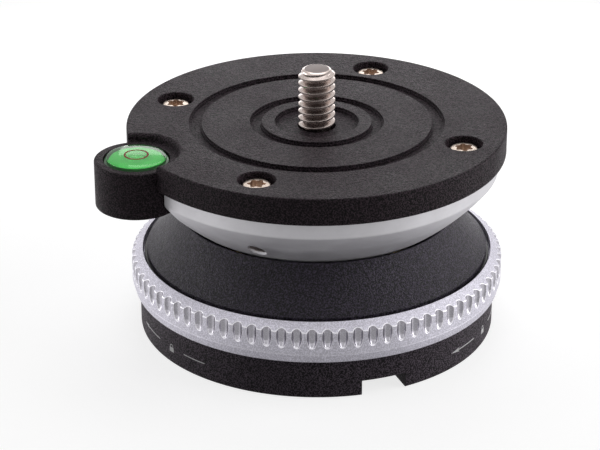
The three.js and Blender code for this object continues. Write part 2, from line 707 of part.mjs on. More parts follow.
add('base_housing', baseHousing(), 'blackAluminium');
add('tripod_insert', tripodInsert(), 'stainlessSteel');
postAngles.forEach((angle, i) => {
  add(`post_${i + 1}`, post(angle), 'brass');
  add(`body_screw_${i + 1}`, bodyScrew(angle), 'blackenedSteel');
});
add('lower_thrust_ring', lowerThrustRing(), 'acetal');
add('upper_thrust_ring', upperThrustRing(), 'acetal');
add('stop_pin', stopPin(), 'stainlessSteel');
add('flared_body', flaredBody(), 'blackAluminium');
add('lock_ring', lockRing(), 'beadBlastedAluminium');
add('draw_plate', drawPlate(), 'brass');
add('center_bolt', centerBolt(), 'blackenedSteel');
add('clamp_dome', clampDome(), 'silverAluminium');
add('disc_spring_1', discSpring(domeSeat + GAP, true), 'springSteel');
add('disc_spring_2', discSpring(domeSeat + GAP + springHeight + GAP, false), 'springSteel');
add('lock_nut', lockNut(), 'blackenedSteel');
add('seat_ring', seatRing(), 'acetal');
add('dome_liner', domeLiner(), 'liner');
add('bowl', bowl(), 'silverAluminium');
add('top_plate', topPlate(), 'blackAluminium');
plateScrewAngles.forEach((angle, i) => add(`plate_screw_${i + 1}`, plateScrew(angle), 'nickel'));
add('camera_stud', cameraStud(), 'stainlessSteel');
add('vial_cup', vialCup(), 'acrylic');
add('vial_plug', vialPlug(), 'vialWhite');
add('vial_fluid', vialFluid(), 'bubbleFluid');

export default head;
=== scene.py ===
"""The looks of a tripod leveling head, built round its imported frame.

Sizes are in millimetres, +Z up, with the origin at the foot of the head's axis. A piece is scaled to metres
when it is finished.
"""

import logging
import math
from dataclasses import dataclass
from enum import Enum
from typing import Any, Iterable, Sequence

import bmesh
import bpy
from bmesh.types import BMEdge, BMesh, BMVert
from mathutils import Matrix, Vector


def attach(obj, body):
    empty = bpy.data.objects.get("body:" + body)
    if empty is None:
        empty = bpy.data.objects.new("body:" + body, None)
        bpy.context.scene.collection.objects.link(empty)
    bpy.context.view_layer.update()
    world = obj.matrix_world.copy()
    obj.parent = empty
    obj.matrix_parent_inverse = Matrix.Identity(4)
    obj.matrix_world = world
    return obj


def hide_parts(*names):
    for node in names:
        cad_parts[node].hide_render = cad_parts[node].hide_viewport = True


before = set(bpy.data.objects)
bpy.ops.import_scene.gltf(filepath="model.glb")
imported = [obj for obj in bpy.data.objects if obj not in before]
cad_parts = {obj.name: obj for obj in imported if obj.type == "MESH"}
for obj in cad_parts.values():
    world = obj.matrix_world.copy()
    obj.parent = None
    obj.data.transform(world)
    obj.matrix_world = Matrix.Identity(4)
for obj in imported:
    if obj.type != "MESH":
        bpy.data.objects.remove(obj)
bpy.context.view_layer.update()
log = logging.getLogger("leveling_head")

Point = tuple[float, float]
Span = tuple[float, float]  # two sizes that belong together
Corner = tuple[float, ...]  # radius and height of one corner of an outline, and its rounding if it has one
Colour = tuple[float, float, float]

MM = 0.001
FULL_TURN = math.tau
THIRD_TURN = math.tau / 3
QUARTER_TURN = math.tau / 4
AXIS: Point = (0.0, 0.0)
WELD = 0.0006  # corners closer than this are one, in millimetres
PAST = 1.0  # how far a cutter reaches past what it cuts
SOFT_ANGLE = math.radians(32)  # edges flatter than this are shaded smooth
LARGE_STEPS = 192
MEDIUM_STEPS = 96
SMALL_STEPS = 48

BALL_CENTRE = 54.005  # height of the bearing's centre
EAR: Point = (-33.199, 0.0)  # the axis of the ear and its bubble vial
BASE_TURN = math.radians(-2)  # how far the base stands turned against the plate
POST_CIRCLE = 22.0
SCREW_CIRCLE = 26.899


class Body(Enum):
    """The frame's bodies."""

    BASE = "base"
    RING = "ring"
    CLAMP = "clamp"
    SEAT = "seat"
    LINER = "liner"
    HEAD = "head"


class Slot(Enum):
    """The record's material slots."""

    BLACK = "black_anodised"
    BLACK_PLATE = "black_anodised_plate"
    BLASTED_SILVER = "bead_blasted_silver"
    SATIN_SILVER = "satin_silver"
    STAINLESS = "stainless_steel"
    BLACK_STEEL = "black_steel"
    SPRING = "spring_steel"
    NICKEL = "nickel_plated"
    BRASS = "brass"
    ACETAL = "black_acetal"
    LINER = "white_liner"
    ACRYLIC = "clear_acrylic"
    WHITE_ACRYLIC = "white_acrylic"
    FLUID = "green_fluid"


class Cut(Enum):
    """How one solid changes another."""

    AWAY = "DIFFERENCE"
    ONTO = "UNION"
    COMMON = "INTERSECT"


class Lay(Enum):
    """The way that fine machining lines run on a turned piece."""

    ROUND = "round the axis"
    ALONG = "along the axis"


# Shapes


def wire(outline: Sequence[Corner], closed: bool, segments: int = 4) -> BMesh:
    """Draws an outline upright beside the axis, with its rounded corners.

    Args:
        outline: Its corners.
        closed: Whether the last corner is joined to the first.
        segments: Number of stretches in a rounded corner.

    Returns:
        A mesh that has only the outline's edges.
    """
    mesh = bmesh.new()
    verts = [mesh.verts.new((corner[0], 0.0, corner[1])) for corner in outline]
    for vert, after in zip(verts, verts[1:] + verts[:1] if closed else verts[1:]):
        mesh.edges.new((vert, after))
    for vert, (_, _, *rounding) in zip(verts, outline):
        if rounding:
            bmesh.ops.bevel(mesh, geom=[vert], offset=rounding[0], offset_type="OFFSET", segments=segments,
                            profile=0.5, affect="VERTICES", material=-1)
    return mesh


def spun(mesh: BMesh, angle: float, steps: int, climb: float = 0.0, full: bool = False) -> BMesh:
    """Spins a wire round the upright axis through the origin.

    Args:
        mesh: The wire. It is changed in place.
        angle: How far it is spun, in radians.
        steps: Number of faces round that angle.
        climb: How far it rises with each step.
        full: Whether its end meets its start.

    Returns:
        The same mesh, now with faces.
    """
    bmesh.ops.spin(mesh, geom=mesh.verts[:] + mesh.edges[:], cent=(0, 0, 0), axis=(0, 0, 1),
                   dvec=(0, 0, climb), angle=angle, steps=steps, use_merge=full, use_duplicate=False)
    return mesh


def moved(mesh: BMesh, by: Matrix) -> BMesh:
    """Moves a whole mesh and returns it."""
    bmesh.ops.transform(mesh, matrix=by, verts=mesh.verts)
    return mesh


def turned(outline: Sequence[Corner], steps: int, centre: Point = AXIS) -> BMesh:
    """Spins an outline round an upright axis.

    Args:
        outline: Its corners. It is closed unless both its ends lie on the axis.
        steps: Number of faces round the full turn.
        centre: Where the axis stands.

    Returns:
        A closed mesh whose faces point outwards.
    """
    on_axis = outline[0][0] == 0.0 and outline[-1][0] == 0.0
    mesh = spun(wire(outline, not on_axis), FULL_TURN, steps, full=True)
    bmesh.ops.remove_doubles(mesh, verts=mesh.verts, dist=WELD)
    bmesh.ops.recalc_face_normals(mesh, faces=mesh.faces)
    return moved(mesh, Matrix.Translation((*centre, 0.0)))


def solid(outline: Sequence[Corner], steps: int, centre: Point = AXIS) -> BMesh:
    """Spins an outline that flat ends at its first and last heights join to the axis."""
    return turned([(0.0, outline[0][1]), *outline, (0.0, outline[-1][1])], steps, centre)


def cylinder(radius: float, low: float, high: float, steps: int, centre: Point = AXIS) -> BMesh:
    """Makes a plain upright cylinder between two heights."""
    return solid([(radius, low), (radius, high)], steps, centre)


def spool(radius: float, end: float, low: float, high: float, rise: float, steps: int) -> BMesh:
    """Makes an upright cylinder whose two ends narrow or widen.

    Args:
        radius: Its radius along the middle.
        end: Its radius at both ends.
        low: Height of its foot.
        high: Height of its top.
        rise: How far each end's slope reaches along the axis.
        steps: Number of faces round the full turn.

    Returns:
        The closed spool.
    """
    return solid([(end, low), (radius, low + rise), (radius, high - rise), (end, high)], steps)


def block(size: tuple[float, float, float], centre: tuple[float, float, float], turn: float = 0.0) -> BMesh:
    """Makes a box.

    Args:
        size: Its length, width and height.
        centre: Its middle before it is turned.
        turn: How far it is turned about the head's axis, in radians.

    Returns:
        The closed box.
    """
    mesh = bmesh.new()
    bmesh.ops.create_cube(mesh, size=1.0)
    bmesh.ops.scale(mesh, vec=size, verts=mesh.verts)
    return moved(mesh, Matrix.Rotation(turn, 4, "Z") @ Matrix.Translation(centre))


def hexagon(flats: float, low: float, high: float, centre: Point = AXIS) -> BMesh:
    """Makes an upright six-sided prism.

    Args:
        flats: Its width across flats.
        low: Height of its foot.
        high: Height of its top.
        centre: Where its axis stands.

    Returns:
        The closed prism.
    """
    mesh = bmesh.new()
    radius = flats / 2 / math.cos(math.pi / 6)
    bmesh.ops.create_cone(mesh, cap_ends=True, segments=6, radius1=radius, radius2=radius, depth=high - low)
    return moved(mesh, Matrix.Translation((*centre, (low + high) / 2)))


def six_lobes(radius: float, lobe: float, low: float, high: float, centre: Point, turn: float) -> BMesh:
    """Makes the upright prism of a six-lobe key.

    Args:
        radius: Mean radius.
        lobe: How far the lobes stand out of the mean radius and the flutes lie inside it.
        low: Height of its foot.
        high: Height of its top.
        centre: Where its axis stands.
        turn: How far it is turned about its own axis, in radians.

    Returns:
        The closed prism.
    """
    mesh = bmesh.new()
    bmesh.ops.create_circle(mesh, cap_ends=True, segments=SMALL_STEPS, radius=radius)
    for vert in mesh.verts:
        angle = math.atan2(vert.co.y, vert.co.x)
        vert.co *= 1 + lobe / radius * math.cos(6 * angle)
    raised = bmesh.ops.extrude_face_region(mesh, geom=mesh.faces[:])
    top = [item for item in raised["geom"] if isinstance(item, BMVert)]
    bmesh.ops.translate(mesh, vec=(0, 0, high - low), verts=top)
    bmesh.ops.recalc_face_normals(mesh, faces=mesh.faces)
    return moved(mesh, Matrix.Translation((*centre, low)) @ Matrix.Rotation(turn, 4, "Z"))


def data_of(name: str, mesh: BMesh) -> bpy.types.Mesh:
    """Writes a shaped mesh, which is used up, into new mesh data.

    Args:
        name: The data's name.
        mesh: The shape.

    Returns:
        The mesh data.
    """
    data = bpy.data.meshes.new(name)
    mesh.to_mesh(data)
    mesh.free()
    return data


def shown(name: str, data: bpy.types.ID) -> bpy.types.Object:
    """Puts a new object into the scene.

    Args:
        name: Its name.
        data: Its mesh, lamp or camera.

    Returns:
        The object.
    """
    item = bpy.data.objects.new(name, data)
    bpy.context.scene.collection.objects.link(item)
    return item


def joined(meshes: Iterable[BMesh]) -> BMesh:
    """Puts several meshes into one, as loose shells.

    Args:
        meshes: The meshes. They are used up.

    Returns:
        The one mesh.
    """
    whole = bmesh.new()
    for mesh in meshes:
        scratch = data_of("scratch", mesh)
        whole.from_mesh(scratch)
        bpy.data.meshes.remove(scratch)
    return whole


def combined(target: BMesh, tools: BMesh, cut: Cut) -> BMesh:
    """Cuts one solid with another, or joins them.

    Args:
        target: The solid that is changed. It is used up.
        tools: The other solid or solids, clear of each other. They are used up.
        cut: What is done.

    Returns:
        The new solid.
    """
    solids = (("target", target), ("tools", tools))
    first, second = (shown(name, data_of(name, mesh)) for name, mesh in solids)
    change = first.modifiers.new("change", "BOOLEAN")
    change.operation = cut.value
    change.solver = "EXACT"
    change.object = second
    bpy.context.view_layer.update()
    result = bmesh.new()
    result.from_object(first, bpy.context.evaluated_depsgraph_get())
    for holder in (first, second):
        data = holder.data
        bpy.data.objects.remove(holder)
        bpy.data.meshes.remove(data)
    bmesh.ops.remove_doubles(result, verts=result.verts, dist=WELD)
    bmesh.ops.dissolve_degenerate(result, dist=WELD, edges=result.edges)
    return result


def on_circle(radius: float, angle: float) -> Point:
    """Gives the point at an angle on a circle about the head's axis."""
    return radius * math.cos(angle), radius * math.sin(angle)


def spaced(count: int, radius: float, first: float) -> list[Point]:
    """Gives evenly spaced places on a circle about the head's axis, from the direction of the first."""
    return [on_circle(radius, first + i * FULL_TURN / count) for i in range(count)]


def ball_arc(ball: float, start: float, end: float, steps: int) -> list[Corner]:
    """Gives corners along the lower half of a sphere about the bearing's centre.

    Args:
        ball: The sphere's radius.
        start: Radius from the axis at which the arc starts.
        end: Radius at which it ends.
        steps: Number of stretches.

    Returns:
        The corners, without rounding.
    """
    first, last = math.asin(start / ball), math.asin(end / ball)
    angles = [first + (last - first) * i / steps for i in range(steps + 1)]
    return [(ball * math.sin(a), BALL_CENTRE - ball * math.cos(a)) for a in angles]


POSTS = spaced(3, POST_CIRCLE, BASE_TURN - QUARTER_TURN + THIRD_TURN / 2)
PLATE_SCREWS = spaced(4, SCREW_CIRCLE, QUARTER_TURN / 2)


@dataclass(frozen=True)
class Thread:
    """A screw thread about an upright axis."""

    major: float
    root: float
    pitch: float
    low: float
    high: float
    steps: int = SMALL_STEPS
    crest: float = 0.17  # share of the pitch that the flat crest takes
    gap: float = 0.12  # share that the flat root takes
    worn_along: float = 0.02  # share of the pitch that a crest's worn corner takes
    worn_down: float = 0.05  # share of the depth that it takes

    def tooth(self) -> list[Span]:
        """Gives one tooth's outline.

        Returns:
            Its points, each as shares of the pitch and of the depth.
        """
        edge = 0.5 - self.crest / 2
        rise = [(0.0, 0.0), (self.gap / 2, 0.0), (edge - self.worn_along, 1 - self.worn_down), (edge, 1.0)]
        return [*rise, *((1.0 - up, out) for up, out in reversed(rise))]

    def rod(self, centre: Point = AXIS) -> BMesh:
        """Makes a threaded rod with plain flat ends.

        Args:
            centre: Where its axis stands.

        Returns:
            The closed rod.
        """
        depth = self.major - self.root
        start = self.low - self.pitch
        turns = math.ceil((self.high - self.low) / self.pitch) + 2
        mesh = bmesh.new()
        points = [mesh.verts.new((self.root + depth * out, 0.0, start + self.pitch * up))
                  for up, out in self.tooth()]
        for point, after in zip(points, points[1:]):
            mesh.edges.new((point, after))
        spun(mesh, FULL_TURN * turns, self.steps * turns, climb=self.pitch / self.steps)
        bmesh.ops.remove_doubles(mesh, verts=mesh.verts, dist=WELD)
        for height, below in ((self.low, True), (self.high, False)):
            bmesh.ops.bisect_plane(mesh, geom=mesh.verts[:] + mesh.edges[:] + mesh.faces[:], dist=WELD / 10,
                                   plane_co=(0, 0, height), plane_no=(0, 0, 1), clear_inner=below,
                                   clear_outer=not below)
        rims = [edge for edge in mesh.edges if edge.is_boundary]
        bmesh.ops.holes_fill(mesh, edges=rims, sides=0)
        bmesh.ops.recalc_face_normals(mesh, faces=mesh.faces)
        return moved(mesh, Matrix.Translation((*centre, 0.0)))


def small_thread(low: float, high: float, centre: Point) -> BMesh:
    """Makes a 3 mm screw's threaded rod between two heights."""
    return Thread(1.5, 1.2, 0.5, low, high, steps=24).rod(centre)


# Finishes


class Shader:
    """The node tree of a material or a world, with short calls that add its nodes."""

    def __init__(self, owner: bpy.types.Material | bpy.types.World, surface: str, place: str) -> None:
        """Starts a node tree.

        Args:
            owner: The material or world.
            surface: Name of the node that gives its look.
            place: The kind of coordinates that its patterns go by.
        """
        self.owner = owner
        owner.use_nodes = True
        self.tree = owner.node_tree
        self.surface = self.tree.nodes[surface]
        self.place = self.add("ShaderNodeTexCoord").outputs[place]

    @classmethod
    def of_material(cls, name: str) -> "Shader":
        """Starts a material of that name, with patterns that go by the piece's own place."""
        return cls(bpy.data.materials.new(name), "Principled BSDF", "Object")

    def add(self, kind: str, inputs: dict[Any, Any] | None = None, **settings: Any) -> bpy.types.Node:
        """Adds a node.

        Args:
            kind: The node's type.
            inputs: Values or sockets for its inputs, by name or number.
            settings: Values for its properties.

        Returns:
            The node.
        """
        node = self.tree.nodes.new(kind)
        for key, value in settings.items():
            setattr(node, key, value)
        for key, value in (inputs or {}).items():
            self.give(node, key, value)
        return node

    def give(self, node: bpy.types.Node, key: Any, value: Any) -> None:
        """Links a socket to a node's input, or sets the input's own value.

        Args:
            node: The node.
            key: The input's name or number.
            value: The socket or the value.
        """
        if isinstance(value, bpy.types.NodeSocket):
            self.tree.links.new(value, node.inputs[key])
        else:
            node.inputs[key].default_value = value

    def set(self, **inputs: Any) -> None:
        """Gives values or sockets to the surface. A name's underscores stand for spaces."""
        for key, value in inputs.items():
            self.give(self.surface, key.replace("_", " "), value)

    def noise(self, grain: float, detail: float = 2.0, vector: Any = None) -> Any:
        """Adds noise.

        Args:
            grain: Size of its lumps in millimetres.
            detail: How much finer noise it holds.
            vector: What it goes by, which is the piece's own place if nothing is given.

        Returns:
            Its value's socket.
        """
        node = self.add("ShaderNodeTexNoise", {
            "Vector": vector or self.place, "Scale": 1 / (grain * MM), "Detail": detail, "Roughness": 0.6})
        return node.outputs["Fac"]

    def ranged(self, value: Any, low: float, high: float, start: float, end: float) -> Any:
        """Maps a value to another range and holds it inside.

        Args:
            value: The value's socket.
            low: What becomes start.
            high: What becomes end.
            start: The new range's start.
            end: The new range's end.

        Returns:
            The result's socket.
        """
        node = self.add("ShaderNodeMapRange", {
            "Value": value, "From Min": low, "From Max": high, "To Min": start, "To Max": end})
        return node.outputs["Result"]

    def spread(self, noise: Any, start: float, end: float) -> Any:
        """Maps the middle span of a noise, where most of it lies, to start and end."""
        return self.ranged(noise, 0.3, 0.7, start, end)

    def worked(self, kind: str, first: Any, second: Any = 0.0) -> Any:
        """Adds a Math node of that kind and returns its value."""
        return self.add("ShaderNodeMath", {0: first, 1: second}, operation=kind).outputs[0]

    def vector(self, kind: str, first: Any, second: Any = (0.0, 0.0, 0.0)) -> Any:
        """Adds a Vector Math node of that kind and returns its outputs."""
        return self.add("ShaderNodeVectorMath", {0: first, 1: second}, operation=kind).outputs

    def flat(self, across: Any, along: Any) -> Any:
        """Makes a vector of two values."""
        return self.add("ShaderNodeCombineXYZ", {"X": across, "Y": along}).outputs[0]

    def parts(self, vector: Any) -> Any:
        """Gives the three values of a vector."""
        return self.add("ShaderNodeSeparateXYZ", {0: vector}).outputs

    def mixed(self, share: Any, first: Any, second: Any) -> Any:
        """Mixes two colours.

        Args:
            share: How much of the second colour is seen.
            first: A socket or a colour.
            second: A socket or a colour.

        Returns:
            The result's socket.
        """
        ends = [(*end, 1.0) if isinstance(end, tuple) else end for end in (first, second)]
        node = self.add("ShaderNodeMix", {0: share, 6: ends[0], 7: ends[1]}, data_type="RGBA")
        return node.outputs[2]

    def bump(self, height: Any, depth: float) -> Any:
        """Adds a bump of a depth in millimetres and returns its normal."""
        inputs = {"Height": height, "Distance": depth * MM, "Strength": 1.0}
        return self.add("ShaderNodeBump", inputs).outputs["Normal"]

    def polar(self) -> tuple[Any, Any]:
        """Gives the distance from the head's axis and the height, in metres."""
        place = self.parts(self.place)
        return self.vector("LENGTH", self.flat(place["X"], place["Y"]))["Value"], place["Z"]


@dataclass(frozen=True)
class Finish:
    """What the surface of a piece looks like."""

    name: str
    slot: Slot
    colour: Colour
    roughness: float = 0.5
    metallic: float = 0.0

    def material(self) -> bpy.types.Material:
        """Gives the finish's material, making it the first time.

        Returns:
            The material.
        """
        made = bpy.data.materials.get(self.name)
        if made is not None:
            return made
        shader = Shader.of_material(self.name)
        shader.set(Metallic=self.metallic)
        self.dress(shader)
        return shader.owner

    def tone(self, share: float) -> Colour:
        """Gives the finish's colour made darker or lighter by a share."""
        return tuple(min(part * share, 1.0) for part in self.colour)

    def grained(self, shader: Shader, noise: Any, contrast: float) -> Any:
        """Gives the finish's colour, made darker and lighter by a noise."""
        return shader.mixed(shader.spread(noise, 0.0, 1.0), self.tone(1 - contrast), self.tone(1 + contrast))

    def dress(self, shader: Shader) -> None:
        """Adds the finish's own nodes."""
        raise NotImplementedError


@dataclass(frozen=True)
class Blasted(Finish):
    """A metal surface with the even grain of blasting, whose bright specks are also painted glints, a little
    rubbed at its rims.
    """

    grain: float = 0.22
    contrast: float = 0.06
    relief: float = 0.006
    specular: float = 0.5
    rims: tuple[Span, ...] = ()  # radius and height of each rubbed edge
    rub: float = 1.6  # how much lighter a rubbed edge is
    rub_width: float = 0.35
    clump: float = 2.7  # size of the clumps of grain, beside the grain's
    blotch: float = 9.0

    def dress(self, shader: Shader) -> None:
        """Adds grain whose bright specks are also painted glints, blotches, rubbed rims and relief.

        Args:
            shader: The material's node tree.
        """
        fine = shader.noise(self.grain, 1.5)
        clumps = shader.noise(self.grain * self.clump, 2.0)
        broad = shader.noise(self.blotch, 3.0)
        # the fine specks are the blasting grain and also painted glints of its facets, much lighter than the
        # finish's own tone
        speck_and_painted_glint = shader.ranged(fine, 0.46, 0.58, 0.0, 1.0)
        colour = shader.mixed(speck_and_painted_glint, self.tone(1 - self.contrast), self.tone(1 + self.contrast * 2.2))
        colour = shader.mixed(shader.spread(clumps, 0.0, 0.2), colour, self.tone(1 - self.contrast * 0.6))
        colour = shader.mixed(shader.ranged(broad, 0.35, 0.65, 0.0, 0.16), colour, self.tone(1.35))
        if self.rims:
            colour = shader.mixed(self.rubbed(shader, fine), colour, self.tone(self.rub))
        rough = shader.worked("ADD", shader.spread(clumps, -0.06, 0.06),
                              shader.spread(broad, self.roughness - 0.04, self.roughness + 0.04))
        height = shader.worked("ADD", fine, shader.worked("MULTIPLY", clumps, 0.8))
        shader.set(Base_Color=colour, Roughness=rough, Specular_IOR_Level=self.specular,
                   Normal=shader.bump(height, self.relief))

    def rubbed(self, shader: Shader, grain: Any) -> Any:
        """Finds the rubbed edges.

        Args:
            shader: The material's node tree.
            grain: The fine grain, which the rubbing follows.

        Returns:
            The socket of how far each point is rubbed, from 0 to 1.
        """
        radius, height = shader.polar()
        most = None
        for rim_radius, rim_height in self.rims:
            off = shader.flat(shader.worked("SUBTRACT", radius, rim_radius * MM),
                              shader.worked("SUBTRACT", height, rim_height * MM))
            near = shader.ranged(shader.vector("LENGTH", off)["Value"], 0.0, self.rub_width * MM, 1.0, 0.0)
            most = near if most is None else shader.worked("MAXIMUM", most, near)
        patchy = shader.ranged(shader.noise(3.0, 3.0), 0.4, 0.62, 0.05, 0.6)
        share = shader.worked("MULTIPLY", most, patchy)
        return shader.worked("MULTIPLY", share, shader.spread(grain, 0.4, 1.0))


@dataclass(frozen=True)
class Machined(Finish):
    """A metal or plastic surface with the fine lines of turning."""

    lay: Lay = Lay.ROUND
    line: float = 0.09
    relief: float = 0.004
    contrast: float = 0.12
    band: float = 9.0  # width of the broad bands of lines, beside a line's
    stain: float = 4.0
    dust: float = 0.12

    def dress(self, shader: Shader) -> None:
        """Adds turning lines, faint stains and small scratches.

        Args:
            shader: The material's node tree.
        """
        if self.lay is Lay.ALONG:
            place = shader.parts(shader.place)
            across = shader.flat(place["X"], place["Y"])
        else:
            across = shader.flat(*shader.polar())
        lines = shader.noise(self.line, 2.0, across)
        bands = shader.noise(self.line * self.band, 2.0, across)
        stains = shader.noise(self.stain, 4.0)
        dust = shader.noise(self.dust, 1.0)
        dark = self.tone(1 - self.contrast)
        colour = self.grained(shader, lines, self.contrast)
        colour = shader.mixed(shader.ranged(bands, 0.35, 0.65, 0.0, 0.3), colour, dark)
        colour = shader.mixed(shader.ranged(stains, 0.45, 0.75, 0.0, 0.25), colour, self.tone(0.82))
        rough = shader.worked("ADD", shader.spread(lines, -0.05, 0.05),
                              shader.spread(stains, self.roughness - 0.05, self.roughness + 0.07))
        height = shader.worked("ADD", lines, shader.worked("MULTIPLY", dust, 0.35))
        shader.set(Base_Color=colour, Roughness=rough, Normal=shader.bump(height, self.relief))


@dataclass(frozen=True)
class Clear(Finish):
    """A clear solid or liquid with a colour of its own."""

    index: float = 1.49
    clarity: float = 1.0
    specular: float = 0.25
    relief: float = 0.00003

    def dress(self, shader: Shader) -> None:
        """Adds the see-through body, with streaks and fine scuffs.

        Args:
            shader: The material's node tree.
        """
        streak = shader.noise(2.2, 3.0)
        scuff = shader.noise(0.15, 2.0)
        colour = shader.mixed(shader.ranged(streak, 0.35, 0.65, 0.0, 1.0), self.tone(0.93), self.tone(1.0))
        rough = shader.ranged(scuff, 0.45, 0.75, self.roughness, self.roughness + 0.03)
        shader.set(Base_Color=colour, Roughness=rough, Transmission_Weight=self.clarity, IOR=self.index,
                   Specular_IOR_Level=self.specular, Normal=shader.bump(scuff, self.relief))


@dataclass(frozen=True)
class Moulded(Finish):
    """A plain plastic or printed surface with a faint skin."""

    grain: float = 0.2
    relief: float = 0.004
    contrast: float = 0.08
    specular: float = 0.3

    def dress(self, shader: Shader) -> None:
        """Adds a faint skin, clouds and worn spots.

        Args:
            shader: The material's node tree.
        """
        skin = shader.noise(self.grain, 2.0)
        cloud = shader.noise(3.0, 3.0)
        colour = self.grained(shader, skin, self.contrast)
        colour = shader.mixed(shader.ranged(cloud, 0.4, 0.7, 0.0, 0.3), colour, self.tone(0.85))
        rough = shader.spread(cloud, self.roughness - 0.06, self.roughness + 0.06)
        shader.set(Base_Color=colour, Roughness=rough, Specular_IOR_Level=self.specular,
                   Normal=shader.bump(skin, self.relief))


BLACK_PLATE = Blasted(
    "plate_black", Slot.BLACK_PLATE, (0.0214, 0.0150, 0.0187), 0.54, grain=0.25, contrast=1.0, relief=0.19,
    specular=0.10,
    rims=((32.95, 37.40), (22.3, 37.42), (19.9, 37.42), (11.7, 37.42), (9.45, 37.42), (7.2, 37.42)))
BLACK_BODY = Blasted(
    "body_black", Slot.BLACK, (0.0215, 0.0170, 0.0270), 0.42, grain=0.26, contrast=1.0, relief=0.2,
    specular=0.21, rims=((24.3, 21.9), (30.05, 14.4)))
BLACK_BASE = Blasted(
    "base_black", Slot.BLACK, (0.046, 0.037, 0.046), 0.56, grain=0.23, contrast=1.0, relief=0.14,
    specular=0.12, rims=((31.3, 0.15),))
RING_SILVER = Blasted(
    "ring_silver", Slot.BLASTED_SILVER, (0.55, 0.535, 0.595), 0.62, 1.0, grain=0.21, contrast=0.13,
    relief=0.03)
# The flutes' silver: smoother, as the cut is, and darker in tone, which is painted shade in the recessed
# flutes.
FLUTE_SILVER_PAINTED_SHADE = Blasted("flute_silver_painted_shade", Slot.BLASTED_SILVER, (0.47, 0.455, 0.50), 0.12, 1.0)
# Lighter silver on the flutes' rims, the ridge and the crease: a painted highlight along those edges.
EDGE_SILVER_PAINTED_HIGHLIGHT = Blasted("edge_silver_painted_highlight", Slot.BLASTED_SILVER, (0.74, 0.73, 0.77), 0.5, 1.0)
BOWL_SILVER = Machined(
    "bowl_silver", Slot.SATIN_SILVER, (0.62, 0.61, 0.635), 0.60, 1.0, line=0.10, relief=0.005, contrast=0.06)
DOME_SILVER = Machined("dome_silver", Slot.SATIN_SILVER, (0.42, 0.42, 0.44), 0.35, 1.0)
INSERT_STEEL = Machined("insert_steel", Slot.STAINLESS, (0.50, 0.48, 0.45), 0.3, 1.0)
STUD_STEEL = Machined(
    "stud_steel", Slot.STAINLESS, (0.54, 0.465, 0.435), 0.24, 1.0, line=0.05, contrast=0.14)
# Much darker steel on the stud's end face: painted shade on its top face.
STUD_END_PAINTED_SHADE = Machined("stud_end_painted_shade", Slot.STAINLESS, (0.13, 0.105, 0.10), 0.42, 1.0, line=0.12, relief=0.006)
PIN_STEEL = Machined("pin_steel", Slot.STAINLESS, (0.50, 0.48, 0.45), 0.3, 1.0, Lay.ALONG)
DARK_STEEL = Machined("dark_steel", Slot.BLACK_STEEL, (0.05, 0.05, 0.055), 0.4, 0.9, line=0.12)
SPRING_STEEL = Machined("spring_steel", Slot.SPRING, (0.32, 0.33, 0.35), 0.33, 1.0, line=0.06)
NICKEL = Machined(
    "nickel", Slot.NICKEL, (0.60, 0.50, 0.43), 0.26, 1.0, line=0.07, relief=0.003, contrast=0.08)
BRASS = Machined("turned_brass", Slot.BRASS, (0.55, 0.40, 0.18), 0.32, 1.0)
ACETAL = Machined(
    "acetal", Slot.ACETAL, (0.015, 0.015, 0.017), 0.45, line=0.12, relief=0.003, contrast=0.2)
LINER = Machined("liner_film", Slot.LINER, (0.80, 0.79, 0.74), 0.5, line=0.2, relief=0.003, contrast=0.05)
ACRYLIC = Clear("acrylic", Slot.ACRYLIC, (0.42, 0.92, 0.46), 0.06, index=1.36, clarity=0.88)
# Dark, nearly opaque green on the cup's outer wall and flange: painted shade of the hole round the vial.
ACRYLIC_EDGE_PAINTED_SHADE = Clear("acrylic_edge_painted_shade", Slot.ACRYLIC, (0.13, 0.27, 0.14), 0.15, index=1.49, clarity=0.1)
FLUID = Clear("vial_green", Slot.FLUID, (0.20, 0.84, 0.26), 0.10, index=1.36, clarity=0.15)
WHITE_ACRYLIC = Moulded("vial_white", Slot.WHITE_ACRYLIC, (0.62, 0.86, 0.60), 0.4)
RED_PRINT = Moulded("red_print", Slot.ACRYLIC, (0.22, 0.02, 0.015), 0.5, specular=0.1)
WHITE_PRINT = Moulded("white_print", Slot.BLACK, (0.80, 0.79, 0.80), 0.55, grain=0.12, contrast=0.15)


def finished(name: str, mesh: BMesh, finish: Finish, body: Body, *nodes: str,
             others: tuple[Finish, ...] = ()) -> bpy.types.Object:
    """Makes a shaped mesh into a piece of the head.

    Args:
        name: The piece's name.
        mesh: Its shape in millimetres. It is used up.
        finish: Its finish.
        body: The body that it rides on.
        nodes: The frame's nodes that it stands for.
        others: The finishes of its faces with material index 1 and up.

    Returns:
        The finished piece.
    """
    bmesh.ops.scale(mesh, vec=(MM, MM, MM), verts=mesh.verts)
    data = data_of(name, mesh)
    data.shade_smooth()
    data.set_sharp_from_angle(angle=SOFT_ANGLE)
    piece = shown(name, data)
    even = piece.modifiers.new("even_shading", "WEIGHTED_NORMAL")
    even.keep_sharp = True
    for look in (finish, *others):
        data.materials.append(look.material())
    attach(piece, body.value)
    if nodes:
        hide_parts(*nodes)
    log.info("%s: %d faces, %s, on %s", name, len(data.polygons), finish.name, body.value)
    return piece


# Sub-assemblies


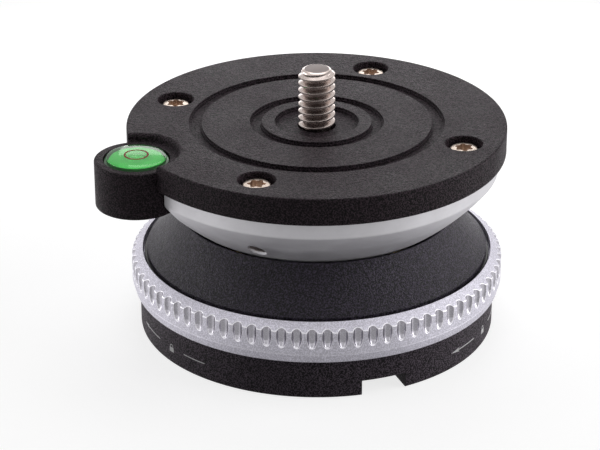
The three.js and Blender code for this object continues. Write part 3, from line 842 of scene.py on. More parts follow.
@dataclass
class Base:
    """The fixed lower half: foot, tripod insert, posts, their screws, thrust rings and stop pin."""

    radius: float = 31.45
    height: float = 6.9
    foot_round: float = 0.35
    relief_inside: float = 10.5
    relief_outside: float = 24.0
    relief_depth: float = 1.0
    slot_width: float = 8.0
    slot_height: float = 2.8
    slot_edge: float = 0.3
    groove: Span = (29.6, 31.15)  # radii of the lower thrust ring's groove
    lower_ring: Span = (29.9, 31.0)
    upper_ring: Span = (27.3, 30.5)
    ring_height: float = 0.6
    upper_ring_low: float = 12.9
    post_top: float = 12.875
    insert_radius: float = 7.0
    insert_low: float = 0.3
    flange_radius: float = 9.0
    flange_top: float = 8.5
    socket_root: float = 4.1
    socket_major: float = 4.76
    socket_pitch: float = 1.5875
    socket_lead: float = 1.2
    post_radius: float = 2.8
    screw_radius: float = 1.5
    screw_neck: float = 1.35
    screw_head: float = 2.75
    screw_sink: float = 1.3
    screw_head_height: float = 2.4
    screw_plain: float = 5.0  # length of shank without thread
    screw_tip: float = 16.498
    screw_key: float = 2.5
    screw_key_depth: float = 1.5
    pin_circle: float = 28.6
    pin_radius: float = 0.5
    pin_low: float = 3.9
    pin_high: float = 8.4
    gap: float = 0.3

    def slot_angles(self) -> list[float]:
        """Gives the directions of the foot slots, in radians."""
        return [BASE_TURN - QUARTER_TURN + i * THIRD_TURN for i in range(3)]

    def housing(self) -> BMesh:
        """Shapes the foot: rim with three slots, relief, bores and the groove of the thrust ring.

        Returns:
            The closed foot.
        """
        bore = self.insert_radius + self.gap
        groove_floor = self.height - self.ring_height
        disc = turned([
            (bore, 0.0, 0.2), (self.relief_inside, 0.0, 0.2), (self.relief_inside, self.relief_depth, 0.2),
            (self.relief_outside, self.relief_depth, 0.2), (self.relief_outside, 0.0, 0.2),
            (self.radius, 0.0, self.foot_round), (self.radius, self.height, 0.2),
            (self.groove[1], self.height), (self.groove[1], groove_floor), (self.groove[0], groove_floor),
            (self.groove[0], self.height), (bore, self.height, 0.1)], LARGE_STEPS)
        rim = self.radius - self.relief_outside
        middle = self.relief_outside + rim / 2
        size = (rim + 2 * PAST, self.slot_width, self.slot_height + PAST)
        place = (middle, 0.0, (self.slot_height - PAST) / 2)
        slots = [block(size, place, angle) for angle in self.slot_angles()]
        floor = self.screw_sink + self.screw_head_height + self.gap
        head, shank = self.screw_head + self.gap, self.screw_radius + self.gap
        sinks = [solid([(head, -PAST), (head, floor, 0.2), (shank, floor), (shank, self.height + PAST)],
                       SMALL_STEPS, place) for place in POSTS]
        foot = combined(disc, joined([*slots, *sinks]), Cut.AWAY)
        self.soften(foot)
        return foot

    def soften(self, mesh: BMesh) -> None:
        """Rounds the edges of the foot slots.

        Args:
            mesh: The foot. It is changed in place.
        """
        mesh.normal_update()
        for angle in self.slot_angles():
            back = Matrix.Rotation(-angle, 3, "Z")

            def on_wall(vert: BMVert) -> bool:
                """Tells whether a corner lies on a side wall of the slot."""
                x, y, z = back @ vert.co
                return x > 0 and abs(abs(y) - self.slot_width / 2) < 0.01 and z < self.slot_height + 0.1

            edges = [edge for edge in mesh.edges if len(edge.link_faces) == 2
                     and edge.calc_face_angle(0.0) > 0.7 and all(on_wall(vert) for vert in edge.verts)]
            bmesh.ops.bevel(mesh, geom=edges, offset=self.slot_edge, offset_type="OFFSET", segments=3,
                            profile=0.5, affect="EDGES", material=-1, clamp_overlap=True)

    def insert(self) -> BMesh:
        """Shapes the flanged insert with its 3/8 inch socket thread.

        Returns:
            The closed insert.
        """
        bore = self.socket_root - 1.1  # narrower than the thread, which is cut next
        sleeve = turned([
            (bore, self.insert_low), (self.insert_radius, self.insert_low, 0.25),
            (self.insert_radius, self.height), (self.flange_radius, self.height, 0.2),
            (self.flange_radius, self.flange_top, 0.3), (bore, self.flange_top)], MEDIUM_STEPS)
        tap = Thread(self.socket_major, self.socket_root, self.socket_pitch, -PAST, self.flange_top + PAST)
        sleeve = combined(sleeve, tap.rod(), Cut.AWAY)
        lead = solid([
            (self.socket_major + self.socket_lead, -PAST), (self.socket_root - 0.3, self.socket_lead)],
            MEDIUM_STEPS)
        return combined(sleeve, lead, Cut.AWAY)

    def post(self, place: Point) -> BMesh:
        """Shapes one spacing post.

        Args:
            place: Where its axis stands.

        Returns:
            The closed post.
        """
        bore = self.screw_radius + self.gap
        return turned([
            (bore, self.height, 0.15), (self.post_radius, self.height, 0.25),
            (self.post_radius, self.post_top, 0.25), (bore, self.post_top, 0.15)], SMALL_STEPS, place)

    def screw(self, place: Point) -> BMesh:
        """Shapes one cap screw, head down, with a hexagon socket.

        Args:
            place: Where its axis stands.

        Returns:
            The closed screw.
        """
        seat = self.screw_sink + self.screw_head_height
        thread = seat + self.screw_plain
        head = solid([
            (self.screw_head, self.screw_sink, 0.35), (self.screw_head, seat, 0.1),
            (self.screw_neck, seat, 0.1), (self.screw_neck, thread + 0.2)], SMALL_STEPS, place)
        whole = combined(head, small_thread(thread, self.screw_tip, place), Cut.ONTO)
        key = hexagon(self.screw_key, self.screw_sink - PAST, self.screw_sink + self.screw_key_depth, place)
        return combined(whole, key, Cut.AWAY)

    def thrust_ring(self, radii: Span, low: float, low_round: float, high_round: float) -> BMesh:
        """Shapes one thrust ring.

        Args:
            radii: Its inside and outside radius.
            low: Height of its foot.
            low_round: Rounding of its lower edges.
            high_round: Rounding of its upper edges.

        Returns:
            The closed ring.
        """
        inside, outside = radii
        high = low + self.ring_height
        return turned([
            (inside, low, low_round), (outside, low, low_round), (outside, high, high_round),
            (inside, high, high_round)], LARGE_STEPS)

    def build(self) -> None:
        """Builds the base's pieces."""
        finished("base_foot", self.housing(), BLACK_BASE, Body.BASE, "base_housing")
        finished("socket_insert", self.insert(), INSERT_STEEL, Body.BASE, "tripod_insert")
        for i, place in enumerate(POSTS, 1):
            finished(f"spacing_post_{i}", self.post(place), BRASS, Body.BASE, f"post_{i}")
            finished(f"base_screw_{i}", self.screw(place), DARK_STEEL, Body.BASE, f"body_screw_{i}")
        lower = self.thrust_ring(self.lower_ring, self.height - self.ring_height, 0.1, 0.15)
        finished("lower_slide_ring", lower, ACETAL, Body.BASE, "lower_thrust_ring")
        upper = self.thrust_ring(self.upper_ring, self.upper_ring_low, 0.15, 0.1)
        finished("upper_slide_ring", upper, ACETAL, Body.BASE, "upper_thrust_ring")
        pin = turned([
            (0.0, self.pin_low), (self.pin_radius, self.pin_low, 0.12), (self.pin_radius, self.pin_high, 0.2),
            (0.0, self.pin_high)], SMALL_STEPS, on_circle(self.pin_circle, BASE_TURN))
        finished("turn_stop_pin", pin, PIN_STEEL, Body.BASE, "stop_pin")


@dataclass
class TurningMarks:
    """White lines, arrows and padlock signs printed round the base."""

    wall: float = 31.45
    height: float = 3.05
    line: float = 0.2
    arrow_length: float = 4.1  # degrees, as the next three
    stem: Span = (3.6, 12.9)  # the arrow's line, from the tip
    sign_at: float = 20.1
    bar: Span = (26.3, 35.3)  # the plain line beside the sign
    arrow_half: float = 0.4
    arrow_notch: float = 0.18  # share of the arrowhead's length that its back is cut in
    sign: float = 1.4  # height of the padlock sign
    film: float = 0.02
    starts: tuple[float, float, float] = (173.9, 293.9, 53.9)  # where each mark's arrow points, in degrees

    def on_wall(self, degrees: float, height: float) -> tuple[float, float, float]:
        """Gives the point on the base's wall at a direction and a height."""
        return *on_circle(self.wall, math.radians(degrees)), height

    def strip(self, start: float, end: float, low: float, high: float) -> BMesh:
        """Makes a strip that follows the base's wall.

        Args:
            start: Where it starts, in degrees.
            end: Where it ends, in degrees.
            low: Its lower edge.
            high: Its upper edge.

        Returns:
            The closed strip.
        """
        mesh = bmesh.new()
        mesh.edges.new([mesh.verts.new(self.on_wall(start, height)) for height in (low, high)])
        spun(mesh, math.radians(end - start), max(1, math.ceil(abs(end - start))))
        return self.lifted(mesh)

    def lifted(self, mesh: BMesh) -> BMesh:
        """Gives a flat print on the wall its thickness.

        Args:
            mesh: The print. It is changed in place.

        Returns:
            The closed print, half sunk into the wall.
        """
        thick = bmesh.ops.extrude_face_region(mesh, geom=mesh.faces[:])
        outer = {item for item in thick["geom"] if isinstance(item, BMVert)}
        for vert in mesh.verts:
            radius = self.wall + (self.film if vert in outer else -self.film)
            vert.co.xy = vert.co.xy.normalized() * radius
        bmesh.ops.recalc_face_normals(mesh, faces=mesh.faces)
        return mesh

    def arrow(self, tip: float) -> BMesh:
        """Makes an arrowhead on the wall.

        Args:
            tip: The direction of its tip, in degrees.

        Returns:
            The closed arrowhead.
        """
        mesh = bmesh.new()
        back = tip + self.arrow_length
        notch = back - self.arrow_length * self.arrow_notch
        corners = ((tip, 0.0), (back, self.arrow_half), (notch, 0.0), (back, -self.arrow_half))
        mesh.faces.new([mesh.verts.new(self.on_wall(angle, self.height + up)) for angle, up in corners])
        return self.lifted(mesh)

    def padlock(self, middle: float) -> BMesh:
        """Makes a small closed padlock sign on the wall.

        Args:
            middle: The direction of its middle, in degrees.

        Returns:
            The closed shells of the sign.
        """
        degree = math.degrees(1 / self.wall)
        half = self.sign * 0.42 * degree
        low = self.height - self.sign * 0.6
        body_top = low + self.sign * 0.62
        spring = body_top + self.sign * 0.14  # height from which the shackle is round
        outer = self.sign * 0.31
        inner = outer - self.line * 0.8
        steps = 8
        shackle = bmesh.new()
        rims = []
        for radius in (outer, inner):
            angles = [math.pi * i / steps for i in range(steps + 1)]
            row = [shackle.verts.new(self.on_wall(middle + radius * math.cos(angle) * degree,
                                                  spring + radius * math.sin(angle))) for angle in angles]
            rims += [shackle.edges.new(pair) for pair in zip(row, row[1:])]
        bmesh.ops.bridge_loops(shackle, edges=rims)
        legs = [self.strip(middle + near * degree, middle + far * degree, body_top, spring)
                for near, far in ((inner, outer), (-outer, -inner))]
        return joined([self.strip(middle - half, middle + half, low, body_top), self.lifted(shackle), *legs])

    def build(self) -> None:
        """Builds the three marks."""
        low, high = self.height - self.line / 2, self.height + self.line / 2
        for i, start in enumerate(self.starts, 1):
            lines = [self.strip(start + near, start + far, low, high) for near, far in (self.stem, self.bar)]
            mark = joined([self.arrow(start), self.padlock(start + self.sign_at), *lines])
            finished(f"turning_mark_{i}", mark, WHITE_PRINT, Body.BASE)


@dataclass
class LockRing:
    """The silver ring with its round-ended flutes."""

    radius: float = 32.8
    low: float = 7.2
    crease: float = 8.85
    taper: float = 0.45
    ridge: float = 12.95
    top_radius: float = 30.8
    top: float = 14.25
    shoulder: float = 12.6
    bore: float = 27.0
    flutes: int = 80
    flute_radius: float = 0.87
    flute_out: float = 0.17  # how far the flute's axis lies outside the wall
    flute_low: float = 9.86
    flute_full: float = 12.0  # height from which a flute has its full width
    nick: float = 0.15  # depth of the fine step at the crease
    edge: float = 0.07
    weld: float = 0.14  # corners of the flute's edge closer than this become one
    sharp: float = 0.45  # the turn of an edge, in radians, from which it is bevelled

    def outline(self) -> list[Corner]:
        """Gives the outline of the ring's section."""
        return [
            (self.bore, self.low, 0.25), (self.radius - self.taper, self.low, 0.2),
            (self.radius - self.nick * 0.7, self.crease - self.nick * 1.2, 0.02),
            (self.radius - self.nick, self.crease - self.nick * 0.7, 0.02), (self.radius, self.crease, 0.07),
            (self.radius, self.ridge, 0.12), (self.top_radius, self.top, 0.2),
            (self.top_radius, self.shoulder), (self.bore, self.shoulder, 0.25)]

    def cutter(self) -> BMesh:
        """Shapes the round-nosed cutter of a flute.

        Returns:
            The closed cutter, with its axis outside the wall.
        """
        length = self.flute_full - self.flute_low
        nose = [(self.flute_radius * math.sin(a), self.flute_full - length * math.cos(a))
                for a in map(math.radians, (0, 30, 45, 58, 69, 80, 90))]
        above = self.top + PAST
        axis = (self.radius + self.flute_out, 0.0)
        return turned([*nose, (self.flute_radius, above), (0.0, above)], 28, axis)

    def sector(self) -> BMesh:
        """Shapes one flute with its share of the ring.

        Returns:
            The sector, open where the next one joins it.
        """
        share = FULL_TURN / self.flutes
        mesh = moved(wire(self.outline(), True, 3), Matrix.Rotation(-share / 2, 4, "Z"))
        spun(mesh, share, 2)
        bmesh.ops.holes_fill(mesh, edges=[edge for edge in mesh.edges if edge.is_boundary], sides=0)
        bmesh.ops.recalc_face_normals(mesh, faces=mesh.faces)
        mesh = combined(mesh, self.cutter(), Cut.AWAY)
        self.open_sides(mesh, share / 2)
        self.round_flutes_and_paint_light(mesh)
        return mesh

    def open_sides(self, mesh: BMesh, angle: float) -> None:
        """Takes away the two flat sides of a sector.

        Args:
            mesh: The sector. It is changed in place.
            angle: How far each side lies from its middle, in radians.
        """
        sides = []
        for face in mesh.faces:
            middle = face.calc_center_median()
            if abs(abs(math.atan2(middle.y, middle.x)) - angle) < 1e-4 and abs(face.normal.z) < 0.01:
                sides.append(face)
        bmesh.ops.delete(mesh, geom=sides, context="FACES_ONLY")

    def on_flute(self, part: Any) -> bool:
        """Tells whether all corners of a face or an edge lie on the flute."""
        axis = self.radius + self.flute_out
        return all(math.hypot(vert.co.x - axis, vert.co.y) < self.flute_radius + 0.01 for vert in part.verts)

    def rim(self, mesh: BMesh) -> list[BMEdge]:
        """Lists the edges round the flute."""
        return [edge for edge in mesh.edges if len(edge.link_faces) == 2
                and edge.calc_face_angle(0.0) > self.sharp and self.on_flute(edge)]

    def round_flutes_and_paint_light(self, mesh: BMesh) -> None:
        """Rounds the flute's edge, and gives the flute a smoother silver darkened with painted shade, and the
        edges a lighter silver of painted highlight.

        Args:
            mesh: The sector. It is changed in place.
        """
        mesh.normal_update()
        # index 1 gives the flutes the darker silver of painted shade
        for face in mesh.faces:
            middle = face.calc_center_median()
            outer = math.hypot(middle.x, middle.y) > self.radius - 0.2
            edge = abs(middle.z - self.ridge) < 0.11 or abs(middle.z - self.crease) < 0.06
            # index 2 gives the ridge and the crease the lighter silver of a painted highlight
            face.material_index = 1 if self.on_flute(face) else 2 if outer and edge else 0
        corners = {vert for edge in self.rim(mesh) for vert in edge.verts}
        in_order = sorted(corners, key=lambda vert: tuple(round(part, 4) for part in vert.co.zyx))
        bmesh.ops.remove_doubles(mesh, verts=in_order, dist=self.weld)
        mesh.normal_update()
        # the bevel's faces round the flutes take index 2, the lighter silver of a painted highlight
        bmesh.ops.bevel(mesh, geom=self.rim(mesh), offset=self.edge, offset_type="OFFSET", segments=2,
                        profile=0.5, affect="EDGES", material=2, clamp_overlap=False)

    def build(self) -> None:
        """Builds the ring from equal sectors."""
        scratch = data_of("sector", self.sector())
        whole = bmesh.new()
        for i in range(self.flutes):
            whole.from_mesh(scratch)
            latest = whole.verts[-len(scratch.vertices):]
            turn = Matrix.Rotation((i + 0.5) * FULL_TURN / self.flutes, 3, "Z")
            bmesh.ops.rotate(whole, cent=(0, 0, 0), matrix=turn, verts=latest)
        bpy.data.meshes.remove(scratch)
        bmesh.ops.remove_doubles(whole, verts=whole.verts, dist=0.002)
        bmesh.ops.recalc_face_normals(whole, faces=whole.faces)
        finished("fluted_ring", whole, RING_SILVER, Body.RING, "lock_ring",
                 others=(FLUTE_SILVER_PAINTED_SHADE, EDGE_SILVER_PAINTED_HIGHLIGHT))


@dataclass
class FlaredBody:
    """The black flared body with the bearing's mouth, and the seat ring in it."""

    seat_ball: float = 40.3
    foot: float = 12.875
    foot_radius: float = 26.4
    shelf: float = 13.5
    edge_radius: float = 30.1
    edge: float = 14.4
    mouth_radius: float = 24.4
    mouth: float = 21.93
    seat_outside: float = 23.7
    seat_inside: float = 20.4
    bore: float = 19.0
    hollow: float = 0.5
    hole_radius: float = 1.8
    hole_top: float = 16.8

    def on_ball(self, radius: float) -> float:
        """Gives the height of the seat's sphere at a radius."""
        return BALL_CENTRE - math.sqrt(self.seat_ball ** 2 - radius ** 2)

    def flare(self, steps: int) -> list[Corner]:
        """Gives the outline of the shallow hollow face.

        Args:
            steps: Number of stretches.

        Returns:
            Its corners, from the lower edge to the mouth, rounded at both ends.
        """
        low, high = Vector((self.edge_radius, self.edge)), Vector((self.mouth_radius, self.mouth))
        pull = (low + high) / 2 - Vector((self.hollow, self.hollow))
        points = []
        for i in range(steps + 1):
            t = i / steps
            points.append(tuple(low * (1 - t) ** 2 + pull * (2 * t * (1 - t)) + high * t ** 2))
        return [(*points[0], 0.12), *points[1:-1], (*points[-1], 0.22)]

    def body(self) -> BMesh:
        """Shapes the flared body.

        Returns:
            The closed body.
        """
        rebate = self.on_ball(self.seat_inside) - 1.3
        shell = turned([
            (self.bore, self.foot, 0.2), (self.foot_radius, self.foot, 0.2),
            (self.foot_radius, self.shelf, 0.1), (self.edge_radius, self.shelf, 0.15), *self.flare(10),
            (self.seat_outside, self.on_ball(self.seat_outside), 0.12), (self.seat_outside, rebate),
            (self.bore, rebate, 0.2)], LARGE_STEPS)
        holes = (cylinder(self.hole_radius, self.foot - PAST, self.hole_top, 24, place) for place in POSTS)
        return combined(shell, joined(holes), Cut.AWAY)

    def seat(self) -> BMesh:
        """Shapes the seat ring.

        Returns:
            The closed ring.
        """
        outside = self.seat_outside - 0.3
        low = self.on_ball(self.seat_inside) - 1
        arc = ball_arc(self.seat_ball, self.seat_inside, outside - 0.15, 6)
        return turned([
            (self.seat_inside, low, 0.15), (outside, low, 0.15), (outside, arc[-1][1]), *reversed(arc)],
            LARGE_STEPS)

    def build(self) -> None:
        """Builds the flared body and the seat ring."""
        finished("flared_cone", self.body(), BLACK_BODY, Body.BASE, "flared_body")
        finished("bearing_ring", self.seat(), ACETAL, Body.SEAT, "seat_ring")


@dataclass
class ClampStack:
    """The draw plate, bolt, dome, springs and nut that the lock ring pulls down, and the liner."""

    low: float = 8.9
    plate_top: float = 12.2
    plate_radius: float = 26.7
    plate_root: float = 26.1
    plate_pitch: float = 1.5
    plate_lead: float = 0.6
    post_hole: float = 3.1
    bolt_hole: float = 3.3
    bolt_radius: float = 3.0
    bolt_root: float = 2.45
    bolt_pitch: float = 1.0
    bolt_neck: float = 2.7
    thread_low: float = 22.0
    bolt_top: float = 30.105
    head_low: float = 9.2
    head_height: float = 1.5
    head_radius: float = 5.0
    head_room: Span = (5.3, 11.0)  # radius and top of the plate's hollow for the bolt's head
    key: float = 4.0
    key_depth: float = 0.9
    dome_ball: float = 34.8
    dome_radius: float = 17.0
    dome_seat: float = 22.605
    dome_rim: float = 0.9
    spring_radius: float = 6.4
    spring_rise: float = 0.4
    spring_wall: float = 0.5
    springs: Span = (22.905, 24.105)  # their lowest heights
    nut_low: float = 25.305
    nut_height: float = 4.0
    nut_width: float = 10.0
    nut_corner: float = 5.9
    nut_face: float = 4.9
    nut_bore: float = 3.25
    nut_chamfer: float = 0.5
    liner_outer: float = 35.7
    liner_inner: float = 35.1
    liner_bore: float = 10.346
    liner_edge: float = 23.299

    def plate(self) -> BMesh:
        """Shapes the threaded draw plate with its three post holes.

        Returns:
            The closed plate.
        """
        ends = (self.low, self.plate_top)
        thread = Thread(self.plate_radius, self.plate_root, self.plate_pitch, *ends, steps=MEDIUM_STEPS)
        trim = spool(self.plate_radius + 0.1, self.plate_root + 0.1, *ends, self.plate_lead, MEDIUM_STEPS)
        disc = combined(thread.rod(), trim, Cut.COMMON)
        below, above = self.low - PAST, self.plate_top + PAST
        room, room_top = self.head_room
        holes = [cylinder(self.post_hole, below, above, SMALL_STEPS, place) for place in POSTS]
        middle = solid([
            (room, below), (room, room_top, 0.2), (self.bolt_hole, room_top), (self.bolt_hole, above)],
            SMALL_STEPS)
        return combined(disc, joined([*holes, middle]), Cut.AWAY)

    def bolt(self) -> BMesh:
        """Shapes the center bolt, threaded at its upper end.

        Returns:
            The closed bolt.
        """
        seat = self.head_low + self.head_height
        shank = solid([
            (self.head_radius, self.head_low, 0.3), (self.head_radius, seat, 0.2),
            (self.bolt_neck, seat, 0.2), (self.bolt_neck, self.thread_low + 0.1)], SMALL_STEPS)
        thread = Thread(self.bolt_radius, self.bolt_root, self.bolt_pitch, self.thread_low, self.bolt_top,
                        steps=36)
        wide = self.bolt_radius + 0.2
        trim = solid([
            (wide, self.thread_low - 0.5), (wide, self.bolt_top - 0.6), (self.bolt_root, self.bolt_top)],
            SMALL_STEPS)
        whole = combined(shank, combined(thread.rod(), trim, Cut.COMMON), Cut.ONTO)
        key = hexagon(self.key, self.head_low - PAST, self.head_low + self.key_depth)
        return combined(whole, key, Cut.AWAY)

    def dome(self) -> BMesh:
        """Shapes the clamp dome.

        Returns:
            The closed dome.
        """
        arc = ball_arc(self.dome_ball, self.bolt_hole, self.dome_radius, 12)
        top = arc[-1][1] + self.dome_rim
        return turned([
            *arc, (self.dome_radius, top, 0.2), (self.dome_radius - self.dome_rim, top, 0.2),
            (self.dome_radius / 2, self.dome_seat, 0.3), (self.bolt_hole, self.dome_seat, 0.15)],
            MEDIUM_STEPS)

    def spring(self, low: float, inner_rise: float, outer_rise: float) -> BMesh:
        """Shapes one disc spring.

        Args:
            low: Its lowest height.
            inner_rise: How far its inner edge lies above that.
            outer_rise: How far its outer edge lies above it.

        Returns:
            The closed spring.
        """
        inner, outer = low + inner_rise, low + outer_rise
        return turned([
            (self.bolt_hole, inner, 0.08), (self.spring_radius, outer, 0.08),
            (self.spring_radius, outer + self.spring_wall, 0.08),
            (self.bolt_hole, inner + self.spring_wall, 0.08)], SMALL_STEPS)

    def nut(self) -> BMesh:
        """Shapes the hexagon nut with turned-down corners.

        Returns:
            The closed nut.
        """
        low, top, chamfer = self.nut_low, self.nut_low + self.nut_height, self.nut_chamfer
        trim = spool(self.nut_corner, self.nut_face, low, top, chamfer, SMALL_STEPS)
        body = combined(hexagon(self.nut_width, low, top), trim, Cut.COMMON)
        wide = self.nut_bore + 0.95
        bore = spool(self.nut_bore, wide, low - PAST, top + PAST, PAST + chamfer, SMALL_STEPS)
        return combined(body, bore, Cut.AWAY)

    def liner(self) -> BMesh:
        """Shapes the thin slick shell under the bowl's wall.

        Returns:
            The closed shell.
        """
        outer, inner = (ball_arc(ball, self.liner_bore, self.liner_edge, 10)
                        for ball in (self.liner_outer, self.liner_inner))
        return turned([*outer, *reversed(inner)], MEDIUM_STEPS)

    def build(self) -> None:
        """Builds the stack."""
        finished("threaded_plate", self.plate(), BRASS, Body.CLAMP, "draw_plate")
        finished("stack_bolt", self.bolt(), DARK_STEEL, Body.CLAMP, "center_bolt")
        finished("pressure_dome", self.dome(), DOME_SILVER, Body.CLAMP, "clamp_dome")
        lower, upper = self.springs
        finished("spring_lower", self.spring(lower, 0.0, self.spring_rise), SPRING_STEEL, Body.CLAMP,
                 "disc_spring_1")
        finished("spring_upper", self.spring(upper, self.spring_rise, 0.0), SPRING_STEEL, Body.CLAMP,
                 "disc_spring_2")
        finished("stack_nut", self.nut(), DARK_STEEL, Body.CLAMP, "lock_nut")
        finished("slide_liner", self.liner(), LINER, Body.LINER, "dome_liner")


@dataclass
class Bowl:
    """The silver bowl with its straight lip."""

    ball: float = 40.0
    hollow: float = 36.0
    lip_radius: float = 31.749
    top: float = 32.625
    cavity: float = 23.599
    bore: float = 10.346
    screw_hole: float = 1.62
    ear_radius: float = 7.5
    hole_low: float = 20.0  # below the wall at the screws and the ear, where their cutters start

    def build(self) -> None:
        """Builds the bowl."""
        *outer, edge = ball_arc(self.ball, self.bore, self.lip_radius, 28)
        inner = ball_arc(self.hollow, self.bore, self.cavity, 20)
        dish = turned([
            *outer, (*edge, 0.22), (self.lip_radius, self.top, 0.15), (self.cavity, self.top, 0.2),
            *reversed(inner)], LARGE_STEPS)
        above = self.top + PAST
        holes = [cylinder(self.screw_hole, self.hole_low, above, 32, place) for place in PLATE_SCREWS]
        notch = cylinder(self.ear_radius, self.hole_low, above, MEDIUM_STEPS, EAR)
        whole = combined(dish, joined([*holes, notch]), Cut.AWAY)
        finished("silver_bowl", whole, BOWL_SILVER, Body.HEAD, "bowl")


@dataclass
class TopPlate:
    """The black camera plate with its grooves, counterbores and the ear of the bubble vial."""

    radius: float = 32.999
    low: float = 32.625
    deck: float = 37.425
    floor: float = 36.625
    edge: float = 0.28
    groove_edge: float = 0.08
    ledge_rise: float = 0.34
    ledge_width: float = 0.2
    pocket: float = 7.3
    inner_groove: Span = (9.55, 11.6)
    outer_groove: Span = (19.999, 22.199)
    stud_hole: float = 3.27
    flange_room: Span = (6.3, 35.025)  # radius and top of the hollow for the stud's flange
    screw_hole: float = 1.8
    counterbore: float = 3.2
    counterbore_floor: float = 34.175
    ear_radius: float = 7.2
    ear_top: float = 36.075
    ear_low: float = 27.675
    ear_edge: float = 0.4
    vial_hole: float = 5.65
    vial_floor: float = 30.025

    def wall(self, radius: float, away: int) -> list[Corner]:
        """Gives a groove's wall, with its fine ledge.

        Args:
            radius: The wall's radius at the deck.
            away: The side on which the ledge lies, 1 for outwards and -1 for inwards.

        Returns:
            Its corners, from the deck to the floor.
        """
        step, ledge = self.floor + self.ledge_rise, radius + self.ledge_width * away
        return [(radius, self.deck, self.groove_edge), (radius, step), (ledge, step, 0.03),
                (ledge, self.floor, self.groove_edge)]

    def disc(self) -> BMesh:
        """Shapes the grooved disc.

        Returns:
            The closed disc.
        """
        grooves = []
        for inside, outside in (self.outer_groove, self.inner_groove):
            grooves += [*self.wall(outside, -1), *reversed(self.wall(inside, 1))]
        room, room_top = self.flange_room
        return turned([
            (room, self.low, 0.1), (self.radius, self.low, self.edge), (self.radius, self.deck, self.edge),
            *grooves, *self.wall(self.pocket, -1), (self.stud_hole, self.floor, 0.15),
            (self.stud_hole, room_top), (room, room_top)], LARGE_STEPS)

    def ear(self) -> BMesh:
        """Shapes the round ear."""
        return turned([
            (0.0, self.ear_low), (self.ear_radius, self.ear_low, self.ear_edge),
            (self.ear_radius, self.ear_top, self.ear_edge), (0.0, self.ear_top)], MEDIUM_STEPS, EAR)

    def tools(self) -> BMesh:
        """Shapes what is cut away: the scallop over the ear, the vial's hole and the screws' holes.

        Returns:
            The closed cutters.
        """
        hair = 0.004  # keeps a cutter's edge off the face that it rounds
        above, clear = self.deck + hair, self.deck + hair + PAST
        reach = self.ear_radius + 0.05
        scallop = solid([
            (reach, self.ear_top, 0.25), (reach, above, 0.75), (self.ear_radius + 3, above + 0.03),
            (self.ear_radius + 3, clear)], MEDIUM_STEPS, EAR)
        hole = solid([
            (self.vial_hole, self.vial_floor), (self.vial_hole, self.ear_top + 0.003, 0.15),
            (self.vial_hole + 1, self.ear_top + 0.02), (self.vial_hole + 1, self.ear_top + PAST)],
            MEDIUM_STEPS, EAR)
        sinks = [solid([
            (self.screw_hole, self.low - PAST), (self.screw_hole, self.counterbore_floor),
            (self.counterbore, self.counterbore_floor, 0.2), (self.counterbore, above, 0.22),
            (self.counterbore + 1.2, above + 0.02), (self.counterbore + 1.2, clear)], SMALL_STEPS, place)
            for place in PLATE_SCREWS]
        return combined(joined([scallop, *sinks]), hole, Cut.ONTO)

    def build(self) -> None:
        """Builds the plate."""
        whole = combined(self.disc(), self.ear(), Cut.ONTO)
        finished("camera_plate", combined(whole, self.tools(), Cut.AWAY), BLACK_PLATE, Body.HEAD, "top_plate")


@dataclass
class PlateScrews:
    """The four six-lobe screws that hold the plate to the bowl."""

    face: float = 36.675
    head_radius: float = 2.45
    head_height: float = 2.2
    neck: float = 1.3
    dish: float = 1.6  # radius of the flat round the key recess
    dome: float = 0.12  # how far the head's edge lies below its face
    ball: float = 39.72  # the tips are ground flush with this ball, just inside the bowl's
    length: float = 12.0
    key: float = 1.40
    lobe: float = 0.21
    key_depth: float = 1.3
    turns: tuple[float, float, float, float] = (0.35, 0.1, 0.6, 0.2)  # how each key recess stands, in radians

    def screw(self, place: Point, turn: float) -> BMesh:
        """Shapes one screw.

        Args:
            place: Where its axis stands.
            turn: How far its key recess is turned, in radians.

        Returns:
            The closed screw.
        """
        seat = self.face - self.head_height
        reach = SCREW_CIRCLE + self.head_radius
        arc = ball_arc(self.ball, 0.0, reach, 40)
        inside = turned([*arc, (reach, self.face), (0.0, self.face)], LARGE_STEPS)
        shank = combined(small_thread(seat - self.length, seat - 1.0, place), inside, Cut.COMMON)
        head = solid([
            (self.neck, seat - 1.5), (self.neck, seat, 0.1), (self.head_radius, seat, 0.15),
            (self.head_radius, self.face - self.dome, 0.32), (self.dish, self.face, 0.3)], SMALL_STEPS, place)
        whole = combined(head, shank, Cut.ONTO)
        recess = six_lobes(self.key, self.lobe, self.face - self.key_depth, self.face + PAST, place, turn)
        return combined(whole, recess, Cut.AWAY)

    def build(self) -> None:
        """Builds the screws."""
        for i, (place, turn) in enumerate(zip(PLATE_SCREWS, self.turns), 1):
            finished(f"six_lobe_screw_{i}", self.screw(place, turn), NICKEL, Body.HEAD, f"plate_screw_{i}")


